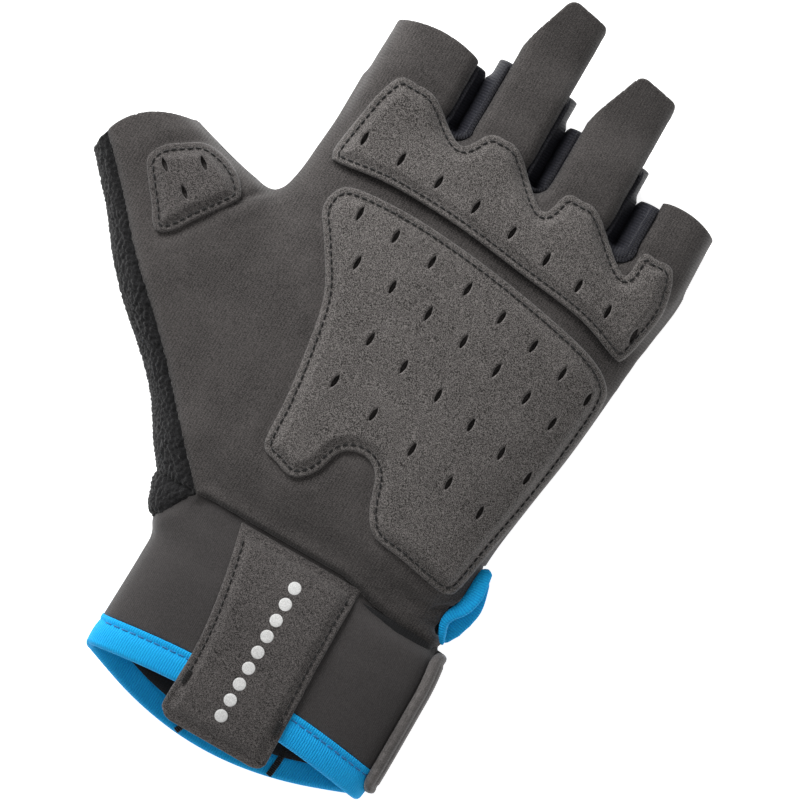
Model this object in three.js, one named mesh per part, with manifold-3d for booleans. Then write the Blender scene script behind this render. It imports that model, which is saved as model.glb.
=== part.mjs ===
// A left-hand half-finger training glove with a wrist wrap, lying on its back with the palm up.
// Millimetres. +X points to the little-finger side, +Y to the fingertips and +Z out of the palm.
// The origin is on the flat face that the glove lies on, under the middle of the palm.
import * as THREE from "three";
import { mergeVertices } from "three/addons/utils/BufferGeometryUtils.js";
import Module from "manifold-3d";

// The hand part of the glove
const palmLength = 100; // wrist seam to the crease under the fingers
const palmThickness = 30; // back to palm at its fullest
const fingerSlot = 1.8; // free width between two finger stalls
const seamHeight = 12; // height of the side seam between palm and back
const wall = 1.5; // fabric thickness
const seamGap = 0.3; // clear distance between pieces
const flattening = 3; // how far the round underside is pressed flat where it lies
const squareness = 2.6; // power of the sections' superellipse, where 2 would be an ellipse
const waistHeight = 0.42; // where a section is widest, as a share of its thickness
const webLine = { middle: 0.66, fall: 0.1 }; // where the webs lie, as shares of the palm's length

// Finger stalls from the thumb side, as shares of stallWidth and stallReach: their width, the height of the
// hem above the webs on the palm side and on the back, and the reach of the pull tongue past the hem.
const stallWidth = 20;
const stallReach = 20; // webs to the hem on the back of the middle finger
const fingerShares = [
  { name: "index", width: 1.35, palmHem: 0.975, backHem: 0.75, tongue: 0 },
  { name: "middle", width: 1.18, palmHem: 1.35, backHem: 1, tongue: 1.13 },
  { name: "ring", width: 1.2, palmHem: 1.15, backHem: 0.85, tongue: 1.035 },
  { name: "little", width: 1.09, palmHem: 0.9, backHem: 0.65, tongue: 0 },
];
// Beside each stall, as shares of stallReach: how far the upper pad climbs it, where the pad's edge dips at
// the next web (to its right and below it), and how far above the web the next gusset's foot turns.
const trimShares = [
  { padRise: 0.205, dipRight: 0.155, dip: 0.11, footRise: 0.125 },
  { padRise: 0.28, dipRight: 0.245, dip: 0.19, footRise: 0.175 },
  { padRise: 0.22, dipRight: 0.3, dip: 0.25, footRise: 0.025 },
  { padRise: 0.165, dipRight: 0, dip: 0, footRise: 0 },
];
const fingerThickness = 24; // back to front of a stall
const hemCrown = 3; // how far a finger hem arches up in its middle
const tongueCorner = 2.6; // radius of a pull tongue's corners
const gussetDepth = 3.5; // seam of a gusset to the slot between two stalls
const gussetFoot = 4; // depth of the round foot of a gusset
const gussetSeamHeight = 5; // height of the seam between a gusset and the back

// Thumb stall, along its own axis
const thumbAngle = 140; // degrees from +X to the thumb's axis
const thumbLength = 44; // root to the crown of its hem
const thumbWidth = 27; // across its opening
const thumbThickness = 26;
const thumbHemBow = 7; // how far the hem falls back at its ends

// Wrist and cuff
const wristWidth = 83;
const wristThickness = 27;
const bandLength = 43; // wrist seam to the palm-side hem
const backHemDrop = 13.8; // how far the back hem lies beyond the palm-side hem
const palmHemBow = 4; // the palm-side hem falls back by this at the sides
const bindingHeight = 8.7; // blue binding at the hem, palm side
const bindingProud = 0.5; // how far it stands out of the band, inside and out
const tabWidth = 31.3;
const tabLength = 54.5;
const tabThickness = 2;
const strapThickness = 2;
const strapReach = 66; // along the back, from the little-finger side
const strapInset = 1; // free strip between the wrist seam and the strap
const strapTop = 20; // height of the strap's edge on the little-finger side
const strapDrop = 1; // how far the strap reaches past the middle of the palm-side hem

// Pads and their perforations
const padThickness = 2.2;
const slitLength = 5.2;
const slitWidth = 1.4;
const slitCrowding = 0.22; // how much a row's slits crowd towards its right end, where the palm turns away

// Side vent between palm and back, on the little-finger side
const ventBindingWidth = 3;
const ventBindingThickness = 2;
const ventLow = 8.5; // height of the back panel's edge in the vent

// Fineness of the faceting
const bodySides = 28;
const stallSides = 14;
const thumbSides = 18;
const trimSides = 8;
const bodySteps = 1; // lofted rows for each row of the tables
const cornerSteps = 4;
const gussetSteps = 6;
const hemSteps = 6;
const thumbHemSteps = 8;
const wristSteps = 14;

// The stalls side by side, in millimetres.
const fingers = fingerShares.map(({ name, width, palmHem, backHem, tongue }, i) => ({
  name,
  width: width * stallWidth,
  palmHem: palmHem * stallReach,
  backHem: backHem * stallReach,
  tongue: tongue * stallReach,
  padRise: trimShares[i].padRise * stallReach,
  dipRight: trimShares[i].dipRight * stallReach,
  dip: trimShares[i].dip * stallReach,
  footRise: trimShares[i].footRise * stallReach,
}));
const palmWidth = fingers.reduce((sum, finger) => sum + finger.width, 0) + fingerSlot * (fingers.length - 1);
fingers.forEach((finger, i) => {
  finger.left = i ? fingers[i - 1].right + fingerSlot : -palmWidth / 2;
  finger.right = finger.left + finger.width;
  finger.centre = finger.left + finger.width / 2;
});
const webs = fingers.slice(1).map((finger) => finger.left - fingerSlot / 2);
const wristSeam = -palmLength / 2;
const overBinding = bindingProud + seamGap;
const wristLift = overBinding + strapThickness;
const sky = 2 * palmThickness; // above everything
const far = palmWidth; // beyond the glove in plan, but for the thumb
const beyondThumb = -1.5 * palmWidth;

const wasm = await Module();
wasm.setup();

// Places in plan, as shares of the sizes that they follow.
const palmAt = (across, along) => [across * palmWidth, along * palmLength];
const wristAt = (across, down) => [across * wristWidth, wristSeam - down * bandLength];
const thumbTurn = THREE.MathUtils.degToRad(thumbAngle);
const thumbRoot = palmAt(-0.61, 0.04); // where the thumb's axis starts
function thumbAt(across, along) {
  const t = across * thumbWidth;
  const s = along * thumbLength;
  return [
    thumbRoot[0] + t * Math.sin(thumbTurn) + s * Math.cos(thumbTurn),
    thumbRoot[1] - t * Math.cos(thumbTurn) + s * Math.sin(thumbTurn),
  ];
}

// The line of the webs falls towards the little finger.
const webAt = (x) => palmLength * (webLine.middle - webLine.fall * (x / palmWidth));

// Sections of the wrist: edges as shares of its width, its top as a share of its thickness.
const wristRows = [
  { down: 1.42, left: -0.477, right: 0.5, top: 0.84, lift: 0.2 },
  { down: 1.1, left: -0.477, right: 0.517, top: 0.93, lift: 1 },
  { down: 0.9, left: -0.475, right: 0.522, top: 0.98, lift: 1 },
  { down: 0.45, left: -0.468, right: 0.522, top: 1.02, lift: 1 },
  { down: 0.29, left: -0.474, right: 0.521, top: 1, lift: 1 },
  { down: 0.16, left: -0.527, right: 0.515, top: 0.97, lift: 1 },
  { down: 0.04, left: -0.552, right: 0.506, top: 0.93, lift: 1 },
];
// Sections of the palm: edges as shares of its width, its top as a share of its thickness. The last one
// lies along the webs, so its right end is lower.
const palmRows = [
  { along: -0.45, left: -0.466, right: 0.404, top: 0.93, fall: 0 },
  { along: -0.38, left: -0.495, right: 0.408, top: 0.99, fall: 0 },
  { along: -0.25, left: -0.53, right: 0.409, top: 1, fall: 0 },
  { along: -0.08, left: -0.545, right: 0.43, top: 1, fall: 0 },
  { along: 0.1, left: -0.548, right: 0.456, top: 0.98, fall: 0 },
  { along: 0.3, left: -0.538, right: 0.474, top: 0.95, fall: 0 },
  { along: 0.4, left: -0.52, right: 0.481, top: 0.93, fall: 0.01 },
  { along: 0.5, left: -0.507, right: 0.487, top: 0.91, fall: 0.03 },
  { along: 0.6, left: -0.5, right: 0.495, top: 0.87, fall: 0.05 },
  { along: 0.66, left: -0.498, right: 0.498, top: 0.8, fall: 0.05 },
];
// Sections of a finger stall above the web: shares of its hem height, tongue, width and thickness.
const stallRows = [
  { up: -1.1, reach: 0, left: 0.1, right: 0.88, top: 0.96 },
  { up: -0.4, reach: 0, left: 0.01, right: 0.99, top: 1.03 },
  { up: 0.2, reach: 0, left: 0, right: 1, top: 1.04 },
  { up: 0.7, reach: 0, left: 0.01, right: 0.99, top: 1 },
  { up: 1.05, reach: 0.1, left: 0.01, right: 0.99, top: 0.97 },
  { up: 1.2, reach: 1, left: 0.02, right: 0.98, top: 0.95 },
];
// Plan of a pull tongue: its foot and tip as shares of the stall's width, and its foot's height as one of its
// reach. The centre of its right corner lies below the tip by rightDrop radii, and that of its left corner by
// one. The corners turn between directions in degrees.
const tonguePlan = { footLeft: 0.09, footRight: 0.99, footHeight: 0.12, tipLeft: 0.35, tipRight: 0.91 };
const tongueCorners = { rightDrop: 1.5, rightFrom: 0, rightTo: 75, leftFrom: 80, leftTo: 165 };
// Sections of the thumb along its axis: shares of its length, width and thickness.
const thumbRows = [
  { along: -0.9, left: -1, right: 0.4, top: 0.92 },
  { along: -0.46, left: -0.875, right: 0.95, top: 1.02 },
  { along: 0, left: -0.845, right: 1, top: 1.05 },
  { along: 0.27, left: -0.79, right: 0.885, top: 1.02 },
  { along: 0.54, left: -0.69, right: 0.665, top: 0.98 },
  { along: 0.72, left: -0.65, right: 0.53, top: 0.95 },
  { along: 0.91, left: -0.605, right: 0.4, top: 0.93 },
  { along: 1.15, left: -0.56, right: 0.26, top: 0.9 },
];
// The thumb's hem as shares of its width: its ends, which lie outside the fabric, its crown, and how far from
// the crown it has fallen by its bow.
const thumbHem = { left: -0.8, right: 0.75, crown: -0.15, fallen: 0.6 };
// Seam between palm and wrist band.
const wristSeamLine = [
  { across: -1, down: -0.04 },
  { across: 0.12, down: -0.045 },
  { across: 0.26, down: 0.015 },
  { across: 0.36, down: 0.035 },
  { across: 1, down: 0.035 },
];

// The terry panel's inner seam runs along the thumb, and its foot reaches below the wrist seam.
const terrySeam = [
  { across: -0.42, along: 1.3 },
  { across: -0.43, along: 0.95 },
  { across: -0.49, along: 0.58 },
  { across: -0.57, along: 0.24 },
  { across: -0.6, along: -0.07 },
  { across: -0.64, along: -0.38 },
  { across: -0.71, along: -0.72 },
  { across: -0.78, along: -1.05 },
  { across: -0.82, along: -1.25 },
];
const terryFoot = [
  { across: -0.5, down: 0.22 },
  { across: -1, down: 0.24 },
];
// Two corners of its outline outside the fabric.
const terryOutside = [
  { across: -3, along: 0 },
  { across: -1.5, along: 1.3 },
];

const mainPadOutline = [
  { across: -0.408, along: 0.4 },
  { across: -0.354, along: 0.425 },
  { across: -0.196, along: 0.433 },
  { across: 0, along: 0.418 },
  { across: 0.196, along: 0.388 },
  { across: 0.363, along: 0.35 },
  { across: 0.442, along: 0.305 },
  { across: 0.462, along: 0.25 },
  { across: 0.455, along: 0.13 },
  { across: 0.432, along: -0.05 },
  { across: 0.401, along: -0.22 },
  { across: 0.378, along: -0.35 },
  { across: 0.359, along: -0.378 },
  { across: 0.324, along: -0.382 },
  { across: 0.21, along: -0.36 },
  { across: 0.118, along: -0.343 },
  { across: 0.074, along: -0.29 },
  { across: 0.039, along: -0.2 },
  { across: -0.01, along: -0.173 },
  { across: -0.064, along: -0.195 },
  { across: -0.093, along: -0.27 },
  { across: -0.138, along: -0.314 },
  { across: -0.196, along: -0.302 },
  { across: -0.246, along: -0.275 },
  { across: -0.255, along: -0.15 },
  { across: -0.275, along: 0 },
  { across: -0.305, along: 0.14 },
  { across: -0.373, along: 0.26 },
  { across: -0.42, along: 0.335 },
];
// Lower edge and sides of the upper pad. Its top edge follows the fingers.
const upperPadFoot = [
  { across: -0.442, along: 0.67 },
  { across: -0.455, along: 0.6 },
  { across: -0.471, along: 0.5 },
  { across: -0.466, along: 0.466 },
  { across: -0.44, along: 0.459 },
  { across: -0.295, along: 0.476 },
  { across: -0.098, along: 0.47 },
  { across: 0.098, along: 0.446 },
  { across: 0.295, along: 0.42 },
  { across: 0.42, along: 0.378 },
  { across: 0.448, along: 0.385 },
  { across: 0.465, along: 0.45 },
  { across: 0.476, along: 0.55 },
];
// The upper pad's edge over a stall: its distance from the stall's centre as a share of the stall's width,
// and how far it lies below the pad's rise as a share of that rise.
const padShoulders = [
  { across: 0.24, below: 0.18 },
  { across: 0, below: -0.04 },
  { across: -0.18, below: 0.14 },
];
const thumbPadOutline = [
  { across: -0.13, along: 0.735 },
  { across: 0.05, along: 0.77 },
  { across: 0.24, along: 0.745 },
  { across: 0.44, along: 0.7 },
  { across: 0.57, along: 0.59 },
  { across: 0.63, along: 0.46 },
  { across: 0.6, along: 0.34 },
  { across: 0.5, along: 0.305 },
  { across: 0.1, along: 0.285 },
  { across: -0.13, along: 0.27 },
  { across: -0.28, along: 0.295 },
  { across: -0.3, along: 0.36 },
  { across: -0.25, along: 0.465 },
  { across: -0.2, along: 0.61 },
];
// Rows of slits in the palm pads. Each runs from its left to its right end and arches by its bow.
const upperSlitRows = [{ count: 9, left: -0.415, start: 0.547, right: 0.439, end: 0.452, bow: 0.028 }];
const mainSlitRows = [
  { count: 8, left: -0.328, start: 0.371, right: 0.418, end: 0.246, bow: 0.024 },
  { count: 7, left: -0.271, start: 0.254, right: 0.37, end: 0.145, bow: 0.018 },
  { count: 6, left: -0.143, start: 0.098, right: 0.385, end: -0.012, bow: 0.008 },
  { count: 5, left: -0.168, start: -0.042, right: 0.323, end: -0.151, bow: 0.003 },
];
const thumbSlits = [
  { across: 0, along: 0.655 },
  { across: 0.36, along: 0.585 },
  { across: 0.09, along: 0.46 },
];
// Where the pull tab starts on the band, and its edges, as shares of its length and width.
const tabRow = { across: 0.012, down: -0.035 };
const tabRows = [
  { down: 0, left: -0.67, right: 0.49 },
  { down: 0.2, left: -0.585, right: 0.485 },
  { down: 0.45, left: -0.51, right: 0.49 },
  { down: 0.66, left: -0.48, right: 0.505 },
  { down: 0.92, left: -0.49, right: 0.52 },
  { down: 0.975, left: -0.45, right: 0.5 },
  { down: 1, left: -0.35, right: 0.42 },
];
// Edge of the palm panel in the side vent, and the outer edge of the binding on the back panel.
const ventPalmRows = [
  { along: -0.265, edge: 0.402, height: 0.58 },
  { along: -0.3, edge: 0.406, height: 0.62 },
  { along: -0.36, edge: 0.402, height: 0.66 },
  { along: -0.41, edge: 0.39, height: 0.68 },
  { along: -0.45, edge: 0.384, height: 0.68 },
  { along: -0.49, edge: 0.396, height: 0.58 },
];
const ventBackRows = [
  { along: -0.27, edge: 0.425 },
  { along: -0.33, edge: 0.436 },
  { along: -0.38, edge: 0.457 },
  { along: -0.42, edge: 0.45 },
  { along: -0.46, edge: 0.435 },
  { along: -0.495, edge: 0.418 },
];

// A closed solid of a three.js geometry, for joining and cutting.
function solid(geometry) {
  geometry.deleteAttribute("normal");
  geometry.deleteAttribute("uv");
  const merged = mergeVertices(geometry, 1e-4);
  return new wasm.Manifold(
    new wasm.Mesh({
      numProp: 3,
      vertProperties: merged.attributes.position.array,
      triVerts: new Uint32Array(merged.index.array),
    }),
  );
}

// An upright prism over an outline in plan.
function prism(outline, low, high) {
  const shape = new THREE.Shape(outline.map(([x, y]) => new THREE.Vector2(x, y)));
  const geometry = new THREE.ExtrudeGeometry(shape, { depth: high - low, bevelEnabled: false });
  return solid(geometry.translate(0, 0, low));
}

// Rows with evenly curved ones between them. Undersides run straight from row to row.
function refine(rows, steps) {
  const curve = (a, b, c, d, t) =>
    0.5 * (2 * b + (c - a) * t + (2 * a - 5 * b + 4 * c - d) * t * t + (3 * b - 3 * c + d - a) * t ** 3);
  const straight = (a, b, c, d, t) => b + (c - b) * t;
  const fine = rows.slice(1).flatMap((next, i) => {
    const [before, row, after] = [rows[Math.max(i - 1, 0)], rows[i], rows[Math.min(i + 2, rows.length - 1)]];
    const between = (t) => (key) => {
      const blend = key === "bottom" ? straight : curve;
      return [key, blend(before[key], row[key], next[key], after[key], t)];
    };
    const rowAt = (t) => Object.fromEntries(Object.keys(row).map(between(t)));
    return Array.from({ length: steps }, (_, k) => rowAt(k / steps));
  });
  return [...fine, rows.at(-1)];
}

// A closed tube lofted through upright sections. Each row gives the two ends of its section in plan and the
// heights that it spans. A section bulges like a superellipse and is pressed flat at its lowest height.
// grow moves the whole skin outwards, or inwards where it is negative.
function tube(rows, { grow = 0, sides, press = flattening, waist = waistHeight }) {
  const positions = [];
  rows.forEach((row, i) => {
    const [dx, dy] = [row.rightX - row.leftX, row.rightY - row.leftY];
    const width = Math.hypot(dx, dy);
    const end = i === 0 ? -1 : i === rows.length - 1 ? 1 : 0;
    const centre = [
      (row.leftX + row.rightX) / 2 - (end * grow * dy) / width,
      (row.leftY + row.rightY) / 2 + (end * grow * dx) / width,
    ];
    const middle = row.bottom + (row.top - row.bottom) * waist;
    const corner = (value) => Math.sign(value) * Math.abs(value) ** (2 / squareness);
    for (let k = 0; k < sides; k++) {
      const angle = (2 * Math.PI * (k + 0.5)) / sides;
      const out = ((width / 2 + grow) * corner(Math.cos(angle))) / width;
      const reach = angle < Math.PI ? row.top + grow - middle : middle - row.bottom + press + grow;
      const height = Math.max(middle + reach * corner(Math.sin(angle)), row.bottom - grow);
      positions.push(centre[0] + out * dx, centre[1] + out * dy, height);
    }
  });
  const ring = (i, k) => i * sides + (k % sides);
  const index = [];
  for (let i = 0; i < rows.length - 1; i++)
    for (let k = 0; k < sides; k++) {
      index.push(ring(i, k), ring(i + 1, k + 1), ring(i, k + 1));
      index.push(ring(i, k), ring(i + 1, k), ring(i + 1, k + 1));
    }
  for (let k = 1; k < sides - 1; k++) {
    index.push(ring(0, 0), ring(0, k), ring(0, k + 1));
    index.push(ring(rows.length - 1, 0), ring(rows.length - 1, k + 1), ring(rows.length - 1, k));
  }
  const geometry = new THREE.BufferGeometry();
  geometry.setAttribute("position", new THREE.Float32BufferAttribute(positions, 3));
  geometry.setIndex(index);
  return solid(geometry);
}

function section([leftX, leftY], [rightX, rightY], bottom, top) {
  return { leftX, leftY, rightX, rightY, bottom, top };
}

function bodyRows() {
  const wrist = wristRows.map(({ down, left, right, top, lift }) =>
    section(wristAt(left, down), wristAt(right, down), lift * wristLift, top * wristThickness),
  );
  const palm = palmRows.map(({ along, left, right, top, fall }) =>
    section(palmAt(left, along + fall), palmAt(right, along - fall), 0, top * palmThickness),
  );
  return refine([...wrist, ...palm], bodySteps);
}

function stallRowsOf(finger) {
  const web = webAt(finger.centre);
  const rows = stallRows.map(({ up, reach, left, right, top }) => {
    const y = web + up * finger.palmHem + reach * finger.tongue;
    return section(
      [finger.left + left * finger.width, y],
      [finger.left + right * finger.width, y],
      0,
      top * fingerThickness,
    );
  });
  return refine(rows, bodySteps);
}

function thumbStallRows() {
  const rows = thumbRows.map(({ along, left, right, top }) =>
    section(thumbAt(left, along), thumbAt(right, along), 0, top * thumbThickness),
  );
  return refine(rows, bodySteps);
}

// The whole glove as one solid form without its hollow, grown outwards by the distance given.
const forms = new Map();
function form(grow) {
  if (!forms.has(grow)) {
    const stalls = fingers.map((finger) => tube(stallRowsOf(finger), { grow, sides: stallSides }));
    const thumb = tube(thumbStallRows(), { grow, sides: thumbSides });
    const body = tube(bodyRows(), { grow, sides: bodySides });
    forms.set(grow, [...stalls, thumb].reduce((sum, piece) => sum.add(piece), body));
  }
  return forms.get(grow);
}
const layer = (inner, outer) => form(outer).subtract(form(inner));

// An outline moved outwards by a distance, point by point.
function grown(outline, distance) {
  const shape = outline.map(([x, y]) => new THREE.Vector2(x, y));
  const out = THREE.ShapeUtils.isClockWise(shape) ? -distance : distance;
  return outline.map(([x, y], i) => {
    const [ax, ay] = outline.at(i - 1);
    const [bx, by] = outline[(i + 1) % outline.length];
    const length = Math.hypot(bx - ax, by - ay);
    return [x + (out * (by - ay)) / length, y - (out * (bx - ax)) / length];
  });
}

// A smooth closed outline through points chosen by hand.
function smooth(points, perPoint = 2) {
  const corners = points.map(([x, y]) => new THREE.Vector3(x, y, 0));
  const curve = new THREE.CatmullRomCurve3(corners, true, "centripetal");
  const count = points.length * perPoint;
  return Array.from({ length: count }, (_, i) => curve.getPoint(i / count)).map(({ x, y }) => [x, y]);
}

// Points of an arc round a corner, between two directions in degrees.
function cornerArc(x, y, radius, from, to) {
  return Array.from({ length: cornerSteps }, (_, i) => {
    const angle = THREE.MathUtils.degToRad(from + ((to - from) * i) / (cornerSteps - 1));
    return [x + radius * Math.cos(angle), y + radius * Math.sin(angle)];
  });
}

// The finger hems on the palm side, from the little finger to the index, with their pull tongues.
function palmHemPoints() {
  const points = [];
  [...fingers].reverse().forEach((finger) => {
    const { left, right, width, palmHem, tongue, centre } = finger;
    const hem = webAt(centre) + palmHem - hemCrown;
    const edge = fingerSlot / 2 - seamGap / 2;
    if (!tongue) {
      for (let i = 0; i <= hemSteps; i++) {
        const share = 1 - i / hemSteps;
        const x = left - edge + share * (width + 2 * edge);
        points.push([x, hem + hemCrown * (1 - (2 * share - 1) ** 2)]);
      }
      return;
    }
    const tip = hem + tongue;
    const foot = hem + tonguePlan.footHeight * tongue;
    const tipRight = left + tonguePlan.tipRight * width - tongueCorner;
    const tipLeft = left + tonguePlan.tipLeft * width + tongueCorner;
    const { rightDrop, rightFrom, rightTo, leftFrom, leftTo } = tongueCorners;
    points.push([right + edge, hem]);
    points.push([left + tonguePlan.footRight * width, foot]);
    points.push(...cornerArc(tipRight, tip - rightDrop * tongueCorner, tongueCorner, rightFrom, rightTo));
    points.push(...cornerArc(tipLeft, tip - tongueCorner, tongueCorner, leftFrom, leftTo));
    points.push([left + tonguePlan.footLeft * width, foot]);
    points.push([left - edge, hem]);
  });
  return points;
}

// Everything beyond the thumb's hem, which is a shallow arc across its axis.
function beyondThumbHem() {
  const { left, right, crown, fallen } = thumbHem;
  const hem = Array.from({ length: thumbHemSteps + 1 }, (_, i) => {
    const across = right + ((left - right) * i) / thumbHemSteps;
    return thumbAt(across, 1 - (thumbHemBow * ((across - crown) / fallen) ** 2) / thumbLength);
  });
  return prism([...hem, thumbAt(left, 2), thumbAt(right, 2)], -sky, sky);
}

const seamPoints = wristSeamLine.map(({ across, down }) => wristAt(across, down));

// What stays of the hand above the wrist seam, between the hems: on the palm side and on the back.
const palmSide = [
  ...seamPoints,
  [far, webAt(palmWidth / 2)],
  ...palmHemPoints(),
  [beyondThumb, webAt(-palmWidth / 2)],
];
function backSide() {
  const hems = [...fingers].reverse().flatMap((finger) => {
    const hem = webAt(finger.centre) + finger.backHem;
    return [
      [finger.right + fingerSlot / 2, hem],
      [finger.left - fingerSlot / 2, hem],
    ];
  });
  return [...seamPoints, [far, hems[0][1]], ...hems, [beyondThumb, hems.at(-1)[1]]];
}

// The terry panel: everything outside its seam on the thumb's outer side.
const terryOutline = [
  ...terrySeam.map(({ across, along }) => thumbAt(across, along)),
  ...terryFoot.map(({ across, down }) => wristAt(across, down)),
  ...terryOutside.map(({ across, along }) => thumbAt(across, along)),
];

// A gusset lies between the seams of two neighbouring stalls, from their web to their hems.
function gussetOutline(i, reach) {
  const web = webs[i];
  const y = webAt(web) + fingers[i].footRise;
  const half = gussetDepth + fingerSlot / 2 + reach;
  const top = y + palmLength;
  const foot = Array.from({ length: gussetSteps + 1 }, (_, k) => {
    const angle = Math.PI * (1 + k / gussetSteps);
    return [web + half * Math.cos(angle), y + (gussetFoot + reach) * Math.sin(angle)];
  });
  return [...foot, [web + half, top], [web - half, top]];
}

// A gusset and its room. Its top follows the hems of its two stalls.
function gussetBlock(i, reach) {
  const [left, right] = [webs[i] - fingers[i].width, webs[i] + fingers[i + 1].width];
  const low = webAt(webs[i]) - far;
  const hemOf = (finger) => webAt(finger.centre) + finger.palmHem - hemCrown + reach;
  const below = [
    [left, low],
    [right, low],
    [right, hemOf(fingers[i + 1])],
    [webs[i], hemOf(fingers[i + 1])],
    [webs[i], hemOf(fingers[i])],
    [left, hemOf(fingers[i])],
  ];
  const block = prism(gussetOutline(i, reach), gussetSeamHeight - reach, sky);
  return block.intersect(prism(below, -sky, sky));
}

const bow = (x) => (2 * x / wristWidth) ** 2;
const palmHemAt = (x) => wristSeam - bandLength - palmHemBow * bow(x);
const backHemAt = (x) => wristSeam - bandLength - backHemDrop + (backHemDrop - palmHemBow) * bow(x);
const bindingTopAt = (x) => palmHemAt(x) + bindingHeight;

// A strip across the whole wrist in plan and a little beyond it, between two lines given by their heights.
function strip(lowAt, highAt) {
  const half = 0.56 * wristWidth;
  const line = (at) =>
    Array.from({ length: wristSteps + 1 }, (_, i) => {
      const x = half * ((2 * i) / wristSteps - 1);
      return [x, at(x)];
    });
  return [...line(lowAt), ...line(highAt).reverse()];
}

function bindingSolid(reach) {
  const palmPart = prism(strip(palmHemAt, (x) => bindingTopAt(x) + reach), seamHeight, sky);
  const backPart = prism(strip(backHemAt, (x) => bindingTopAt(x) + reach), -sky, seamHeight);
  return palmPart.add(backPart);
}

function seamSide(shift) {
  return [
    ...seamPoints.map(([x, y]) => [x, y + shift]),
    [far, -2 * far],
    [-far, -2 * far],
  ];
}

function slitAt([x, y], turn) {
  const straight = slitLength / 2 - slitWidth / 2;
  const ends = [
    ...cornerArc(straight, 0, slitWidth / 2, -90, 90),
    ...cornerArc(-straight, 0, slitWidth / 2, 90, 270),
  ];
  const points = ends.map(([along, across]) => [
    x + along * Math.cos(turn) - across * Math.sin(turn),
    y + along * Math.sin(turn) + across * Math.cos(turn),
  ]);
  return prism(points, 0, sky);
}

function slitsOf(rows) {
  return rows.flatMap(({ count, left, start, right, end, bow: arch }) =>
    Array.from({ length: count }, (_, i) => {
      const even = i / (count - 1);
      const share = even + slitCrowding * even ** 2 * (1 - even);
      const along = start + (end - start) * share + arch * (1 - (2 * share - 1) ** 2);
      return slitAt(palmAt(left + (right - left) * share, along), Math.PI / 2);
    }),
  );
}

// The upper pad's top edge climbs every stall and dips at every web.
function upperPadOutline() {
  const top = [...fingers].reverse().flatMap((finger, i) => {
    const crown = webAt(finger.centre) + finger.padRise;
    const shoulders = padShoulders.map(({ across, below }) => [
      finger.centre + across * finger.width,
      crown - below * finger.padRise,
    ]);
    const before = fingers[fingers.length - 2 - i];
    if (!before) return shoulders;
    const x = finger.left - fingerSlot / 2 + before.dipRight;
    return [...shoulders, [x, webAt(x) - before.dip]];
  });
  return smooth([...upperPadFoot.map(({ across, along }) => palmAt(across, along)), ...top]);
}

// A layer of one thickness over the palm side, cut to an outline in plan.
function overlay(outline, low, thickness) {
  return layer(low, low + thickness).intersect(prism(outline, seamHeight, sky));
}

function pad(outline, slits) {
  return slits.reduce((rest, slit) => rest.subtract(slit), overlay(outline, seamGap, padThickness));
}

// The plan of the side vent, and the region that it opens in the palm and back panels.
const ventPalm = refine(ventPalmRows, 2);
const ventBack = refine(ventBackRows, 2);
function ventCut() {
  const edge = ventPalm.map(({ along, edge: across }) => palmAt(across, along));
  return prism([...edge, [far, edge.at(-1)[1]], [far, edge[0][1]]].reverse(), ventLow, sky);
}

function ventPalmBinding(grow = 0) {
  const rows = ventPalm.map(({ along, edge, height }) => {
    const [x, y] = palmAt(edge, along);
    const low = height * palmThickness - ventBindingThickness / 2;
    return section([x + seamGap, y], [x + seamGap + ventBindingWidth, y], low, low + ventBindingThickness);
  });
  return tube(rows.reverse(), { grow, sides: trimSides, press: 0, waist: 0.5 });
}

function ventBackBinding(grow = 0) {
  const rows = ventBack.map(({ along, edge }) => {
    const [x, y] = palmAt(edge, along);
    const low = ventLow + seamGap;
    return section([x - ventBindingWidth, y], [x, y], low, low + ventBindingThickness);
  });
  return tube(rows.reverse(), { grow, sides: trimSides, press: 0, waist: 0.5 });
}

function tabOutline() {
  const middle = tabRow.across * wristWidth;
  const top = wristSeam - tabRow.down * bandLength;
  const right = tabRows.map(({ down, right: share }) => [middle + share * tabWidth, top - down * tabLength]);
  const left = tabRows.map(({ down, left: share }) => [middle + share * tabWidth, top - down * tabLength]);
  return [...left, ...right.reverse()];
}

function strapOutline() {
  const right = wristWidth;
  const top = seamPoints.at(-1)[1] - strapInset;
  const end = wristWidth / 2 - strapReach;
  const low = wristSeam - bandLength - strapDrop;
  return [
    [end, low],
    [right, low],
    [right, top],
    [end, top],
  ];
}

// Pieces
const shell = layer(-wall, 0).subtract(beyondThumbHem());
const terry = prism(terryOutline, -sky, sky);
const terryRoom = prism(grown(terryOutline, seamGap), -sky, sky);
const gussetRoom = webs.map((web, i) => gussetBlock(i, seamGap)).reduce((sum, block) => sum.add(block));
const sideRooms = terryRoom.add(gussetRoom).add(ventCut());
const handPlan = prism(palmSide, seamHeight + seamGap / 2, sky);
const backPlan = prism(backSide(), -sky, seamHeight - seamGap / 2);

const pieces = {
  palm_panel: shell.intersect(handPlan).subtract(sideRooms).subtract(ventPalmBinding(seamGap)),
  back_panel: shell.intersect(backPlan).subtract(sideRooms).subtract(ventBackBinding(seamGap)),
  thumb_back_panel: shell.intersect(terry),
  upper_palm_pad: pad(upperPadOutline(), slitsOf(upperSlitRows)),
  main_palm_pad: pad(
    smooth(mainPadOutline.map(({ across, along }) => palmAt(across, along))).reverse(),
    slitsOf(mainSlitRows),
  ),
  thumb_pad: pad(
    smooth(thumbPadOutline.map(({ across, along }) => thumbAt(across, along))).reverse(),
    thumbSlits.map(({ across, along }) => slitAt(thumbAt(across, along), thumbTurn)),
  ),
};
webs.forEach((web, i) => {
  pieces["gusset_" + fingers[i].name + "_" + fingers[i + 1].name] = shell.intersect(gussetBlock(i, 0));
});
const bandRegion = prism(seamSide(-seamGap), -sky, sky);
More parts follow.
